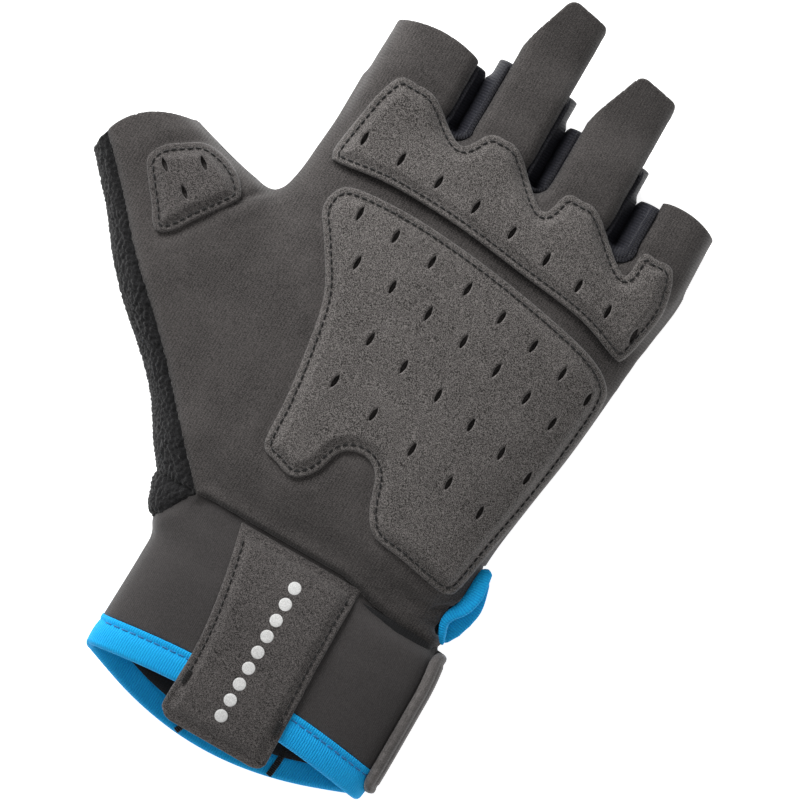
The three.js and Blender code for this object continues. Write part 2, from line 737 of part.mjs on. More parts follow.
pieces.wrist_band = shell
  .intersect(bandRegion)
  .subtract(bindingSolid(seamGap))
  .subtract(terryRoom)
  .intersect(prism(strip(bindingTopAt, () => far), -sky, sky));
pieces.cuff_binding = layer(-wall - bindingProud, bindingProud).intersect(bindingSolid(0));
pieces.pull_tab = overlay(tabOutline(), overBinding, tabThickness);
const strapLayer = layer(overBinding, overBinding + strapThickness);
pieces.closure_strap = strapLayer.intersect(prism(strapOutline(), -sky, strapTop));
pieces.vent_binding_palm = ventPalmBinding();
pieces.vent_binding_back = ventBackBinding();

// Colours and finish of each piece
const looks = {
  palm_panel: { color: 0x48443f, roughness: 0.9 },
  back_panel: { color: 0x2b2a2c, roughness: 0.92 },
  thumb_back_panel: { color: 0x3b3b3e, roughness: 0.98 },
  upper_palm_pad: { color: 0x5a5551, roughness: 0.88 },
  main_palm_pad: { color: 0x5a5551, roughness: 0.88 },
  thumb_pad: { color: 0x5a5551, roughness: 0.88 },
  wrist_band: { color: 0x454240, roughness: 0.9 },
  cuff_binding: { color: 0x1382dc, roughness: 0.7 },
  pull_tab: { color: 0x5a5551, roughness: 0.88 },
  closure_strap: { color: 0x5c5a59, roughness: 0.85 },
  vent_binding_palm: { color: 0x1382dc, roughness: 0.7 },
  vent_binding_back: { color: 0x1382dc, roughness: 0.7 },
};
const gussetLook = { color: 0x14161d, roughness: 0.35 };

function meshOf(name, piece) {
  const { numProp, vertProperties, triVerts } = piece.getMesh();
  const positions = new Float32Array((vertProperties.length / numProp) * 3);
  for (let i = 0; i < positions.length / 3; i++)
    positions.set(vertProperties.subarray(i * numProp, i * numProp + 3), 3 * i);
  const geometry = new THREE.BufferGeometry();
  geometry.setAttribute("position", new THREE.BufferAttribute(positions, 3));
  geometry.setIndex(new THREE.BufferAttribute(triVerts, 1));
  geometry.computeVertexNormals();
  const material = new THREE.MeshStandardMaterial({ metalness: 0, ...(looks[name] ?? gussetLook) });
  const mesh = new THREE.Mesh(geometry, material);
  mesh.name = name;
  return mesh;
}

const glove = new THREE.Group();
Object.entries(pieces).forEach(([name, piece]) => glove.add(meshOf(name, piece)));

export default glove;
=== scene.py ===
"""A left-hand half-finger training glove with a wrist wrap, lying on its back with the palm up.

Lengths are millimetres in the frame of the part (+X to the little finger, +Y to the fingertips, +Z out of the
palm) until a mesh is made, which is in metres.
"""

from __future__ import annotations

import logging
import math
from collections.abc import Callable, Sequence
from dataclasses import dataclass, field
from enum import Enum
from functools import partial

import bpy
import numpy as np
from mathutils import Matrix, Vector

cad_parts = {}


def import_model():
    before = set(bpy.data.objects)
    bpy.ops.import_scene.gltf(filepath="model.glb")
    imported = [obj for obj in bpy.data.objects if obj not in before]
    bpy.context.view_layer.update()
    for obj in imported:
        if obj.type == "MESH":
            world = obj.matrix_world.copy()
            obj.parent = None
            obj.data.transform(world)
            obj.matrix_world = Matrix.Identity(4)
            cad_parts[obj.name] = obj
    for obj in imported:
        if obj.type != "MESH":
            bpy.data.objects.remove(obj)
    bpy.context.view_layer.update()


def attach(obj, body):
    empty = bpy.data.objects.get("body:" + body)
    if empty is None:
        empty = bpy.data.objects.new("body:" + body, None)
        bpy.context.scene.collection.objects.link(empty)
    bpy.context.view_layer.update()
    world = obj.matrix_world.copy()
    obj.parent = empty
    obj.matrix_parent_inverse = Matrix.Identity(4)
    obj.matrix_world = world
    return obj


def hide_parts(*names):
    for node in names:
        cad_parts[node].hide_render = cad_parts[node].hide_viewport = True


MM = 0.001
LOG = logging.getLogger("glove")
Array = np.ndarray
Field = Callable[[Array], Array]


# Arithmetic on whole arrays


def smooth_min(a: Array, b: Array, reach: float) -> Array:
    """The lower of two fields, rounded where they are within reach of each other."""
    h = np.clip(0.5 + 0.5 * (b - a) / reach, 0.0, 1.0)
    return b * (1.0 - h) + a * h - reach * h * (1.0 - h)


def smooth_step(low: float, high: float, value: Array) -> Array:
    """A ramp from 0 at low to 1 at high with level ends."""
    t = np.clip((value - low) / (high - low), 0.0, 1.0)
    return t * t * (3.0 - 2.0 * t)


def bump(distance: Array, width: float) -> Array:
    """A bell of height 1 over a distance, which falls to 1/e at the width."""
    return np.exp(-((distance / width) ** 2))


def curved_rows(rows: Array, steps: int) -> Array:
    """Catmull-Rom rows between rows: each column is a cubic through its four nearest values.

    Args:
        rows: one row of values for each station.
        steps: how many rows are made for each one given.

    Returns:
        The finer rows, the last one given included.
    """
    before = np.vstack([rows[:1], rows[:-2]])
    a, b, c = before, rows[:-1], rows[1:]
    d = np.vstack([rows[2:], rows[-1:]])
    t = (np.arange(steps) / steps)[None, :, None]
    a, b, c, d = (v[:, None, :] for v in (a, b, c, d))
    fine = 0.5 * (2 * b + (c - a) * t + (2 * a - 5 * b + 4 * c - d) * t**2 + (3 * b - 3 * c + d - a) * t**3)
    return np.vstack([fine.reshape(-1, rows.shape[1]), rows[-1:]])


def closed_curve(points: Array, per_point: int) -> Array:
    """A closed Catmull-Rom curve through points in plan."""
    ring = np.vstack([points[-1:], points, points[:2]])
    fine = curved_rows(ring, per_point)
    return fine[per_point : per_point * (len(points) + 1)]


def along_path(points: Array, closed: bool) -> tuple[Array, float]:
    """The running length at each point of a path, and its whole length."""
    path = np.vstack([points, points[:1]]) if closed else points
    steps = np.linalg.norm(np.diff(path, axis=0), axis=1)
    run = np.concatenate([[0.0], np.cumsum(steps)])
    return run, float(run[-1])


def resampled(points: Array, spacing: float, closed: bool) -> Array:
    """Points at even distances along a path."""
    path = np.vstack([points, points[:1]]) if closed else points
    run, length = along_path(points, closed)
    count = max(int(round(length / spacing)), 2)
    stops = np.linspace(0.0, length, count + 1)
    if closed:
        stops = stops[:-1]
    return np.column_stack([np.interp(stops, run, path[:, k]) for k in range(path.shape[1])])


def outline_distance(plan: Array, outline: Array) -> Array:
    """Signed distance in plan to a closed outline, negative inside.

    The distance is the least one to any edge, and the sign comes from how often a ray towards +X crosses it.

    Args:
        plan: points as rows of x and y.
        outline: corners of the outline as rows of x and y.

    Returns:
        One distance for each point.
    """
    least = np.full(len(plan), np.inf)
    odd = np.zeros(len(plan), dtype=bool)
    x, y = plan[:, 0], plan[:, 1]
    for (ax, ay), (bx, by) in zip(outline, np.roll(outline, -1, axis=0)):
        ex, ey = bx - ax, by - ay
        share = np.clip(((x - ax) * ex + (y - ay) * ey) / max(ex * ex + ey * ey, 1e-12), 0.0, 1.0)
        least = np.minimum(least, (x - ax - share * ex) ** 2 + (y - ay - share * ey) ** 2)
        if ay != by:
            crosses = (ay > y) != (by > y)
            odd ^= crosses & (x < ax + (y - ay) * ex / ey)
    return np.where(odd, -1.0, 1.0) * np.sqrt(least)


def path_distance(plan: Array, path: Array) -> Array:
    """Distance in plan to an open path."""
    least = np.full(len(plan), np.inf)
    x, y = plan[:, 0], plan[:, 1]
    for (ax, ay), (bx, by) in zip(path[:-1], path[1:]):
        ex, ey = bx - ax, by - ay
        share = np.clip(((x - ax) * ex + (y - ay) * ey) / max(ex * ex + ey * ey, 1e-12), 0.0, 1.0)
        least = np.minimum(least, (x - ax - share * ex) ** 2 + (y - ay - share * ey) ** 2)
    return np.sqrt(least)


# The cutting pattern: every size and place in plan


@dataclass
class Finger:
    """One finger stall: width, hems above the web on palm and back, pull tongue and the pad's climb.

    Its dip, its foot rise and its seams belong to the web on its little-finger side: where the upper pad's
    edge dips, to the right of the web and below it, how far above it the gusset's foot turns, and the
    gusset's seams left and right of the slot.
    """

    name: str
    width: float
    palm_hem: float
    back_hem: float
    tongue: float
    pad_rise: float
    dip: tuple[float, float] = (0.0, 0.0)
    foot_rise: float = 0.0
    seams: tuple[float, float] = (0.0, 0.0)
    left: float = 0.0

    @property
    def right(self) -> float:
        """Right edge of the stall."""
        return self.left + self.width

    @property
    def centre(self) -> float:
        """Middle of the stall."""
        return self.left + self.width / 2


@dataclass
class SlitRow:
    """A row of slits, by shares of the palm: its two ends and how much it arches."""

    count: int
    left: float
    start: float
    right: float
    end: float
    bow: float


def stalls_in_order() -> list[Finger]:
    """The four finger stalls from the thumb side."""
    return [
        Finger("index", 27.0, 19.5, 15.0, 0.0, 4.1, (3.1, 2.2), 2.5, (3.0, 4.2)),
        Finger("middle", 23.6, 27.0, 20.0, 22.6, 5.6, (4.9, 3.8), 3.5, (3.2, 3.4)),
        Finger("ring", 24.0, 23.0, 17.0, 20.7, 4.4, (6.0, 5.0), 0.5, (3.0, 5.8)),
        Finger("little", 21.8, 18.0, 13.0, 0.0, 3.3),
    ]


@dataclass
class Pattern:
    """The glove's sizes and the outlines of its pieces in plan."""

    palm_length: float = 100.0
    palm_thickness: float = 30.0
    finger_slot: float = 1.8
    seam_height: float = 12.0
    wall: float = 1.5
    seam_gap: float = 0.3
    finger_thickness: float = 24.0
    hem_crown: float = 3.0
    tongue_corner: float = 2.6
    gusset_foot: float = 4.0
    gusset_seam_height: float = 5.0
    thumb_angle: float = math.radians(140.0)
    thumb_length: float = 44.0
    thumb_width: float = 27.0
    thumb_thickness: float = 26.0
    thumb_hem_bow: float = 7.0
    wrist_width: float = 83.0
    wrist_thickness: float = 27.0
    band_length: float = 43.0
    back_hem_drop: float = 13.8
    palm_hem_bow: float = 4.0
    binding_height: float = 8.7
    binding_proud: float = 0.5
    tab_width: float = 31.3
    tab_length: float = 54.5
    tab_thickness: float = 2.0
    strap_thickness: float = 2.0
    strap_reach: float = 66.0
    strap_inset: float = 1.0
    strap_top: float = 20.0
    pad_thickness: float = 2.2
    slit_crowding: float = 0.22
    vent_binding_thickness: float = 2.0
    vent_low: float = 8.5
    fingers: list[Finger] = field(default_factory=stalls_in_order)

    def __post_init__(self) -> None:
        """Lays the finger stalls side by side and derives what follows from them."""
        self.palm_width = sum(f.width for f in self.fingers) + self.finger_slot * (len(self.fingers) - 1)
        edge = -self.palm_width / 2
        for finger in self.fingers:
            finger.left = edge
            edge = finger.right + self.finger_slot
        self.webs = [f.left - self.finger_slot / 2 for f in self.fingers[1:]]
        self.wrist_seam = -self.palm_length / 2
        self.over_binding = self.binding_proud + self.seam_gap
        self.wrist_lift = self.over_binding + self.strap_thickness
        self.thumb_root = self.palm_at([(-0.61, 0.04)])[0]
        turn = self.thumb_angle
        self.thumb_axis = np.array([math.cos(turn), math.sin(turn)])
        self.thumb_across = np.array([math.sin(turn), -math.cos(turn)])

    def palm_at(self, shares: Sequence[tuple[float, float]]) -> Array:
        """Places in plan from shares of the palm's width and length."""
        return np.array(shares, dtype=float) * [self.palm_width, self.palm_length]

    def wrist_at(self, shares: Sequence[tuple[float, float]]) -> Array:
        """Places in plan from shares of the wrist's width and of the band's length down from its seam."""
        places = np.array(shares, dtype=float) * [self.wrist_width, -self.band_length]
        return places + [0.0, self.wrist_seam]

    def thumb_at(self, shares: Sequence[tuple[float, float]]) -> Array:
        """Places in plan from shares of the thumb's width and length, along its own axis."""
        across, along = (np.array(shares, dtype=float) * [self.thumb_width, self.thumb_length]).T
        return self.thumb_root + across[:, None] * self.thumb_across + along[:, None] * self.thumb_axis

    def web_at(self, x: float | Array) -> float | Array:
        """Height in plan of the line of the webs, which falls towards the little finger."""
        return self.palm_length * (0.66 - 0.1 * (x / self.palm_width))

    def hem_of(self, finger: Finger) -> float:
        """Height in plan of a stall's palm-side hem at its sides."""
        return self.web_at(finger.centre) + finger.palm_hem - self.hem_crown

    def palm_hem_at(self, x: Array) -> Array:
        """The palm-side cuff hem, which falls back towards the sides as a parabola."""
        return self.wrist_seam - self.band_length - self.palm_hem_bow * (2 * x / self.wrist_width) ** 2

    def back_hem_at(self, x: Array) -> Array:
        """The back cuff hem, a parabola that meets the palm-side hem at the sides."""
        rise = (self.back_hem_drop - self.palm_hem_bow) * (2 * x / self.wrist_width) ** 2
        return self.wrist_seam - self.band_length - self.back_hem_drop + rise

    def binding_top_at(self, x: Array) -> Array:
        """Upper edge of the cuff's binding."""
        return self.palm_hem_at(x) + self.binding_height

    def wrist_seam_line(self) -> Array:
        """Seam between the palm and the wrist band."""
        return self.wrist_at([(-1, -0.04), (0.12, -0.045), (0.26, 0.015), (0.36, 0.035), (1, 0.035)])

    def arc(self, centre: tuple[float, float], radius: float, start: float, end: float) -> Array:
        """Points of an arc in plan between two directions in degrees."""
        turn = np.radians(np.linspace(start, end, 8))
        return np.array(centre) + radius * np.column_stack([np.cos(turn), np.sin(turn)])

    def palm_side(self) -> Array:
        """What stays of the palm side above the wrist seam, with the finger hems and pull tongues."""
        far = self.palm_width
        rows = [self.wrist_seam_line(), [[far, self.web_at(far / 2)]]]
        edge = self.finger_slot / 2 - self.seam_gap / 2
        for f in reversed(self.fingers):
            hem = self.hem_of(f)
            if not f.tongue:
                share = np.linspace(1.0, 0.0, 17)
                x = f.left - edge + share * (f.width + 2 * edge)
                rows.append(np.column_stack([x, hem + self.hem_crown * (1 - (2 * share - 1) ** 2)]))
                continue
            tip, r = hem + f.tongue, self.tongue_corner
            tip_left, tip_right = f.left + 0.35 * f.width, f.left + 0.91 * f.width
            rows += [
                [[f.right + edge, hem], [f.left + 0.99 * f.width, hem + 0.12 * f.tongue]],
                self.arc((tip_right - r, tip - 1.5 * r), r, 0, 75),
                self.arc((tip_left + r, tip - r), r, 80, 165),
                [[f.left + 0.09 * f.width, hem + 0.12 * f.tongue], [f.left - edge, hem]],
            ]
        rows.append([[-1.5 * far, self.web_at(-far / 2)]])
        return np.vstack(rows)

    def back_side(self) -> Array:
        """What stays of the back above the wrist seam, with plain straight hems."""
        far, half = self.palm_width, self.finger_slot / 2
        hems = []
        for f in reversed(self.fingers):
            hem = self.web_at(f.centre) + f.back_hem
            hems.append([[f.right + half, hem], [f.left - half, hem]])
        rows = [self.wrist_seam_line(), [[far, hems[0][0][1]]], *hems, [[-1.5 * far, hems[-1][0][1]]]]
        return np.vstack(rows)

    def thumb_hem(self) -> Array:
        """The thumb's hem, a shallow arc across its axis."""
        across = np.linspace(0.75, -0.8, 25)
        along = 1 - (self.thumb_hem_bow * ((across + 0.15) / 0.6) ** 2) / self.thumb_length
        return self.thumb_at(np.column_stack([across, along]))

    def beyond_thumb(self) -> Array:
        """Everything beyond the thumb's hem."""
        return np.vstack([self.thumb_hem(), self.thumb_at([(-0.8, 2), (0.75, 2)])])

    def terry_seam(self) -> Array:
        """The inner seam of the terry panel, along the thumb."""
        shares = [(-0.42, 1.3), (-0.43, 0.95), (-0.49, 0.58), (-0.57, 0.24), (-0.6, -0.07)]
        shares += [(-0.64, -0.38), (-0.71, -0.72), (-0.78, -1.05), (-0.82, -1.25)]
        return curved_rows(self.thumb_at(shares), 4)

    def terry(self) -> Array:
        """The terry panel: everything outside its seam, down to a foot below the wrist seam."""
        foot = self.wrist_at([(-0.5, 0.22), (-1, 0.24)])
        return np.vstack([self.terry_seam(), foot, self.thumb_at([(-3, 0), (-1.5, 1.3)])])

    def gusset(self, web: float) -> Array:
        """A gusset's plan: a U between the seams of two stalls, rounded below their web."""
        finger = self.fingers[self.webs.index(web)]
        y, (left, right) = self.web_at(web) + finger.foot_rise, finger.seams
        turn = np.linspace(math.pi, 2 * math.pi, 15)
        half = np.where(np.cos(turn) < 0, left, right)
        foot = np.column_stack([web + half * np.cos(turn), y + self.gusset_foot * np.sin(turn)])
        top = y + self.palm_length
        return np.vstack([foot, [[web + right, top], [web - left, top]]])

    def main_pad(self) -> Array:
        """Outline of the large palm pad."""
        shares = [(-0.408, 0.4), (-0.354, 0.425), (-0.196, 0.433), (0, 0.418), (0.196, 0.388), (0.363, 0.35)]
        shares += [(0.442, 0.305), (0.462, 0.25), (0.455, 0.13), (0.432, -0.05), (0.401, -0.22)]
        shares += [(0.378, -0.35)]
        shares += [(0.359, -0.378), (0.324, -0.382), (0.21, -0.36), (0.118, -0.343), (0.074, -0.29)]
        shares += [(0.039, -0.2), (-0.01, -0.173), (-0.064, -0.195), (-0.093, -0.27), (-0.138, -0.314)]
        shares += [(-0.196, -0.302), (-0.246, -0.275), (-0.255, -0.15), (-0.275, 0), (-0.305, 0.14)]
        shares += [(-0.373, 0.26), (-0.42, 0.335)]
        return closed_curve(self.palm_at(shares), 6)

    def upper_pad(self) -> Array:
        """Outline of the pad under the fingers: it climbs every stall and dips at every web."""
        shares = [(-0.442, 0.67), (-0.455, 0.6), (-0.471, 0.5), (-0.466, 0.466), (-0.44, 0.459)]
        shares += [(-0.295, 0.476), (-0.098, 0.47), (0.098, 0.446), (0.295, 0.42), (0.42, 0.378)]
        shares += [(0.448, 0.385), (0.465, 0.45), (0.476, 0.55)]
        top = []
        for i, f in enumerate(reversed(self.fingers)):
            crown = self.web_at(f.centre) + f.pad_rise
            for across, below in ((0.24, 0.18), (0.0, -0.04), (-0.18, 0.14)):
                top.append((f.centre + across * f.width, crown - below * f.pad_rise))
            if i < len(self.fingers) - 1:
                right, down = self.fingers[-2 - i].dip
                x = f.left - self.finger_slot / 2 + right
                top.append((x, self.web_at(x) - down))
        return closed_curve(np.vstack([self.palm_at(shares), top]), 6)

    def thumb_pad(self) -> Array:
        """Outline of the small pad on the thumb."""
        shares = [(-0.13, 0.735), (0.05, 0.77), (0.24, 0.745), (0.44, 0.7), (0.57, 0.59), (0.63, 0.46)]
        shares += [(0.6, 0.34), (0.5, 0.305), (0.1, 0.285), (-0.13, 0.27), (-0.28, 0.295), (-0.3, 0.36)]
        shares += [(-0.25, 0.465), (-0.2, 0.61)]
        return closed_curve(self.thumb_at(shares), 6)

    def slits(self, rows: Sequence[SlitRow]) -> Array:
        """Middles and directions of the slits of palm pads, as rows of x, y and turn."""
        places = []
        for row in rows:
            lean = 0.06 * np.sin(7.0 * np.arange(row.count) + row.count)
            even = np.arange(row.count) / (row.count - 1)
            share = even + self.slit_crowding * even**2 * (1 - even)
            along = row.start + (row.end - row.start) * share + row.bow * (1 - (2 * share - 1) ** 2)
            xy = self.palm_at(np.column_stack([row.left + (row.right - row.left) * share, along]))
            places.append(np.column_stack([xy, math.pi / 2 - 0.05 + lean]))
        return np.vstack(places)

    def tab(self) -> Array:
        """Outline of the pull tab."""
        rows = np.array(
            [
                (0, -0.67, 0.49),
                (0.2, -0.585, 0.485),
                (0.45, -0.51, 0.49),
                (0.66, -0.48, 0.505),
                (0.92, -0.49, 0.52),
                (0.965, -0.465, 0.515),
                (0.99, -0.42, 0.475),
                (1, -0.36, 0.42),
            ]
        )
        middle = 0.012 * self.wrist_width
        y = self.wrist_seam + 0.035 * self.band_length - rows[:, 0] * self.tab_length
        left = np.column_stack([middle + rows[:, 1] * self.tab_width, y])
        right = np.column_stack([middle + rows[:, 2] * self.tab_width, y])
        return np.vstack([curved_rows(left, 4), curved_rows(right, 4)[::-1]])

    def vent_palm(self) -> Array:
        """Edge of the palm panel in the side vent, as rows of x, y and height."""
        rows = [(0.402, -0.265, 0.58), (0.406, -0.3, 0.62), (0.402, -0.36, 0.66), (0.39, -0.41, 0.68)]
        rows += [(0.384, -0.45, 0.68), (0.396, -0.49, 0.58)]
        scaled = np.array(rows) * [self.palm_width, self.palm_length, self.palm_thickness]
        return curved_rows(scaled, 6)

    def vent_cut(self) -> Array:
        """Plan of what the side vent opens."""
        edge = self.vent_palm()[:, :2]
        far = self.palm_width
        return np.vstack([edge, [[far, edge[-1, 1]], [far, edge[0, 1]]]])


# The form of the glove as a field of distances


class Tube:
    """One soft tube of the glove, given by sections along an axis in plan.

    A point's distance is that to a superellipse with the section's half width and heights, divided by the
    superellipse's own steepness, so that it is near a true distance. The underside is pressed flat.
    """

    WAIST = 0.42
    PRESS = 3.0

    def __init__(
        self, rows: Array, origin: Array | None = None, axis: Array | None = None, power: float = 2.6
    ) -> None:
        """Keeps the sections.

        Args:
            rows: station along the axis, left and right edge across it, bottom and top.
            origin: where the axis starts in plan.
            axis: the axis's direction in plan, +Y where it is left out.
            power: how square the sections are.
        """
        fine = curved_rows(rows, 16)
        fine[:, 3] = np.interp(fine[:, 0], rows[:, 0], rows[:, 3])
        self.rows = fine
        self.power = power
        self.origin = np.zeros(2) if origin is None else origin
        self.axis = np.array([0.0, 1.0]) if axis is None else axis
        self.across = np.array([self.axis[1], -self.axis[0]])
        self.lean: Callable[[Array, Array], Array] | None = None

    def section(self, station: Array) -> tuple[Array, Array, Array, Array]:
        """Left, right, bottom and top of the section at each station."""
        return tuple(np.interp(station, self.rows[:, 0], self.rows[:, k]) for k in range(1, 5))

    def distance(self, x: Array, y: Array, z: Array) -> Array:
        """Distance-like field of the tube, negative inside."""
        dx, dy = x - self.origin[0], y - self.origin[1]
        station = dx * self.axis[0] + dy * self.axis[1]
        if self.lean is not None:
            station = station + self.lean(x, y)
        t = dx * self.across[0] + dy * self.across[1]
        left, right, bottom, top = self.section(station)
        half = (right - left) / 2
        middle = bottom + (top - bottom) * self.WAIST
        u = np.abs(t - (left + right) / 2) / half
        rise = np.where(z > middle, top - middle, middle - bottom + self.PRESS)
        v = np.abs(z - middle) / rise
        n = self.power
        rho = np.maximum((u**n + v**n) ** (1 / n), 0.05)
        steep = rho ** (1 - n) * np.sqrt((u ** (n - 1) / half) ** 2 + (v ** (n - 1) / rise) ** 2)
        side = (rho - 1) / np.maximum(steep, 0.2 / half)
        side = -smooth_min(-side, z - bottom, 0.8)
        first, last = self.rows[0, 0], self.rows[-1, 0]
        ends = np.maximum(first - station, station - last)
        return -smooth_min(-side, -ends, 3.0)

    def ring(self, station: Array, turn: Array, grow: Array | float) -> Array:
        """Points of the tube's skin, straight across its axis.

        A point lies at the half width times the cosine to 2/power and the half height times the sine to
        2/power, with grow added to both.

        Args:
            station: where along the axis.
            turn: direction round the section, 0 at its right edge and a quarter turn at its top.
            grow: how far outside the skin.

        Returns:
            Rows of x, y and z.
        """
        left, right, bottom, top = self.section(station)
        middle = bottom + (top - bottom) * self.WAIST
        c, s = np.cos(turn), np.sin(turn)
        e = 2 / self.power
        t = (left + right) / 2 + ((right - left) / 2 + grow) * np.sign(c) * np.abs(c) ** e
        reach = np.where(s > 0, top - middle, middle - bottom + self.PRESS) + grow
        z = np.maximum(middle + reach * np.sign(s) * np.abs(s) ** e, bottom - grow)
        x = self.origin[0] + t * self.across[0] + station * self.axis[0]
        y = self.origin[1] + t * self.across[1] + station * self.axis[1]
        return np.column_stack([x, y, z])


@dataclass
class Fold:
    """A crease or ridge in the fabric: a path in plan, its width, and its depth, above 0 into the glove."""

    path: list[tuple[float, float]]
    width: float
    depth: float

    def lift(self, plan: Array) -> Array:
        """How far the fold pushes the skin in at each point in plan, fading towards its ends."""
        path = curved_rows(np.array(self.path, dtype=float), 6)
        near = path_distance(plan, path)
        length = along_path(path, False)[1]
        ends = np.minimum(
            np.linalg.norm(plan - path[0], axis=1),
            np.linalg.norm(plan - path[-1], axis=1),
        )
        fade = smooth_step(0.0, 0.3 * length, ends) * 0.7 + 0.3
        return self.depth * fade * bump(near, self.width)


class Form:
    """The whole glove's outside as one field: palm, stalls and thumb joined with soft valleys."""

    def __init__(self, pattern: Pattern) -> None:
        """Builds the tubes from the sections, which are shares of the pattern's sizes."""
        self.pattern = p = pattern
        wrist = np.array(
            [
                (1.42, -0.477, 0.5, 0.2, 0.84),
                (1.1, -0.477, 0.517, 1, 0.93),
                (0.9, -0.475, 0.522, 1, 0.98),
                (0.45, -0.468, 0.522, 1, 1.02),
                (0.29, -0.474, 0.521, 1, 1),
                (0.16, -0.527, 0.515, 1, 0.97),
                (0.04, -0.552, 0.506, 1, 0.93),
            ]
        )
        wrist = wrist * [-p.band_length, p.wrist_width, p.wrist_width, p.wrist_lift, p.wrist_thickness]
        wrist[:, 0] += p.wrist_seam
        palm = np.array(
            [
                (-0.45, -0.466, 0.404, 0, 0.93),
                (-0.38, -0.495, 0.408, 0, 0.99),
                (-0.25, -0.53, 0.409, 0, 1),
                (-0.08, -0.545, 0.43, 0, 1),
                (0.1, -0.548, 0.456, 0, 0.98),
                (0.3, -0.538, 0.474, 0, 0.95),
                (0.4, -0.52, 0.481, 0, 0.93),
                (0.5, -0.507, 0.487, 0, 0.91),
                (0.6, -0.5, 0.495, 0, 0.87),
                (0.66, -0.498, 0.498, 0, 0.8),
            ]
        )
        palm = palm * [p.palm_length, p.palm_width, p.palm_width, 0, p.palm_thickness]
        self.body = Tube(np.vstack([wrist, palm]))
        self.body.lean = self.web_lean
        self.stalls = [self.stall(f) for f in p.fingers]
        thumb = np.array(
            [
                (-0.9, -1, 0.4, 0, 0.92),
                (-0.46, -0.875, 0.95, 0, 1.02),
                (0, -0.845, 1, 0, 1.05),
                (0.27, -0.79, 0.885, 0, 1.02),
                (0.54, -0.69, 0.665, 0, 0.98),
                (0.72, -0.65, 0.53, 0, 0.95),
                (0.91, -0.605, 0.4, 0, 0.93),
                (1.15, -0.56, 0.26, 0, 0.9),
            ]
        )
        thumb = thumb * [p.thumb_length, p.thumb_width, p.thumb_width, 0, p.thumb_thickness]
        self.thumb = Tube(thumb, p.thumb_root, p.thumb_axis)

    def web_lean(self, x: Array, y: Array) -> Array:
        """How far the palm's sections move along it near the webs, to follow the line of the webs."""
        p = self.pattern
        near = smooth_step(0.35 * p.palm_length, 0.6 * p.palm_length, y)
        return 0.05 * p.palm_length * near * 2 * x / p.palm_width

    def stall(self, finger: Finger) -> Tube:
        """The tube of one finger stall."""
        p = self.pattern
        web = p.web_at(finger.centre)
        shares = np.array(
            [
                (-1.1, 0, 0.1, 0.88, 0.96),
                (-0.4, 0, 0.01, 0.99, 1.03),
                (0.2, 0, 0, 1, 1.04),
                (0.7, 0, 0.01, 0.99, 1),
                (1.05, 0.1, 0.01, 0.99, 0.97),
                (1.2, 1, 0.02, 0.98, 0.95),
            ]
        )
        station = web + shares[:, 0] * finger.palm_hem + shares[:, 1] * finger.tongue
        left = finger.left + shares[:, 2] * finger.width
        right = finger.left + shares[:, 3] * finger.width
        top = shares[:, 4] * p.finger_thickness
        return Tube(np.column_stack([station, left, right, np.zeros(len(top)), top]), power=3.0)

    def distance(self, points: Array) -> Array:
        """Distance-like field of the whole glove's outside."""
        x, y, z = points.T
        whole = self.body.distance(x, y, z)
        high = y > 0.3 * self.pattern.palm_length
        if high.any():
            stalls = np.full(high.sum(), np.inf)
            for stall in self.stalls:
                stalls = np.minimum(stalls, stall.distance(x[high], y[high], z[high]))
            whole[high] = smooth_min(whole[high], stalls, 2.5)
        side = x < -0.2 * self.pattern.palm_width
        if side.any():
            thumb = self.thumb.distance(x[side], y[side], z[side])
            whole[side] = smooth_min(whole[side], thumb, 7.0)
        return whole

    def slope(self, points: Array) -> Array:
        """Outward normal of the field, by central differences."""
        h = 0.05
        parts = [self.distance(points + h * e) - self.distance(points - h * e) for e in np.eye(3)]
        normal = np.column_stack(parts) / (2 * h)
        return normal

    def top_at(self, plan: Array, level: float | Array) -> Array:
        """Height at which the field reaches a level above each place in plan, found by halving."""
        low = np.full(len(plan), self.pattern.seam_height - 2.0)
        high = np.full(len(plan), 2.0 * self.pattern.palm_thickness)
        for _ in range(24):
            middle = (low + high) / 2
            inside = self.distance(np.column_stack([plan, middle])) < level
            low = np.where(inside, middle, low)
            high = np.where(inside, high, middle)
        return (low + high) / 2


# Meshes


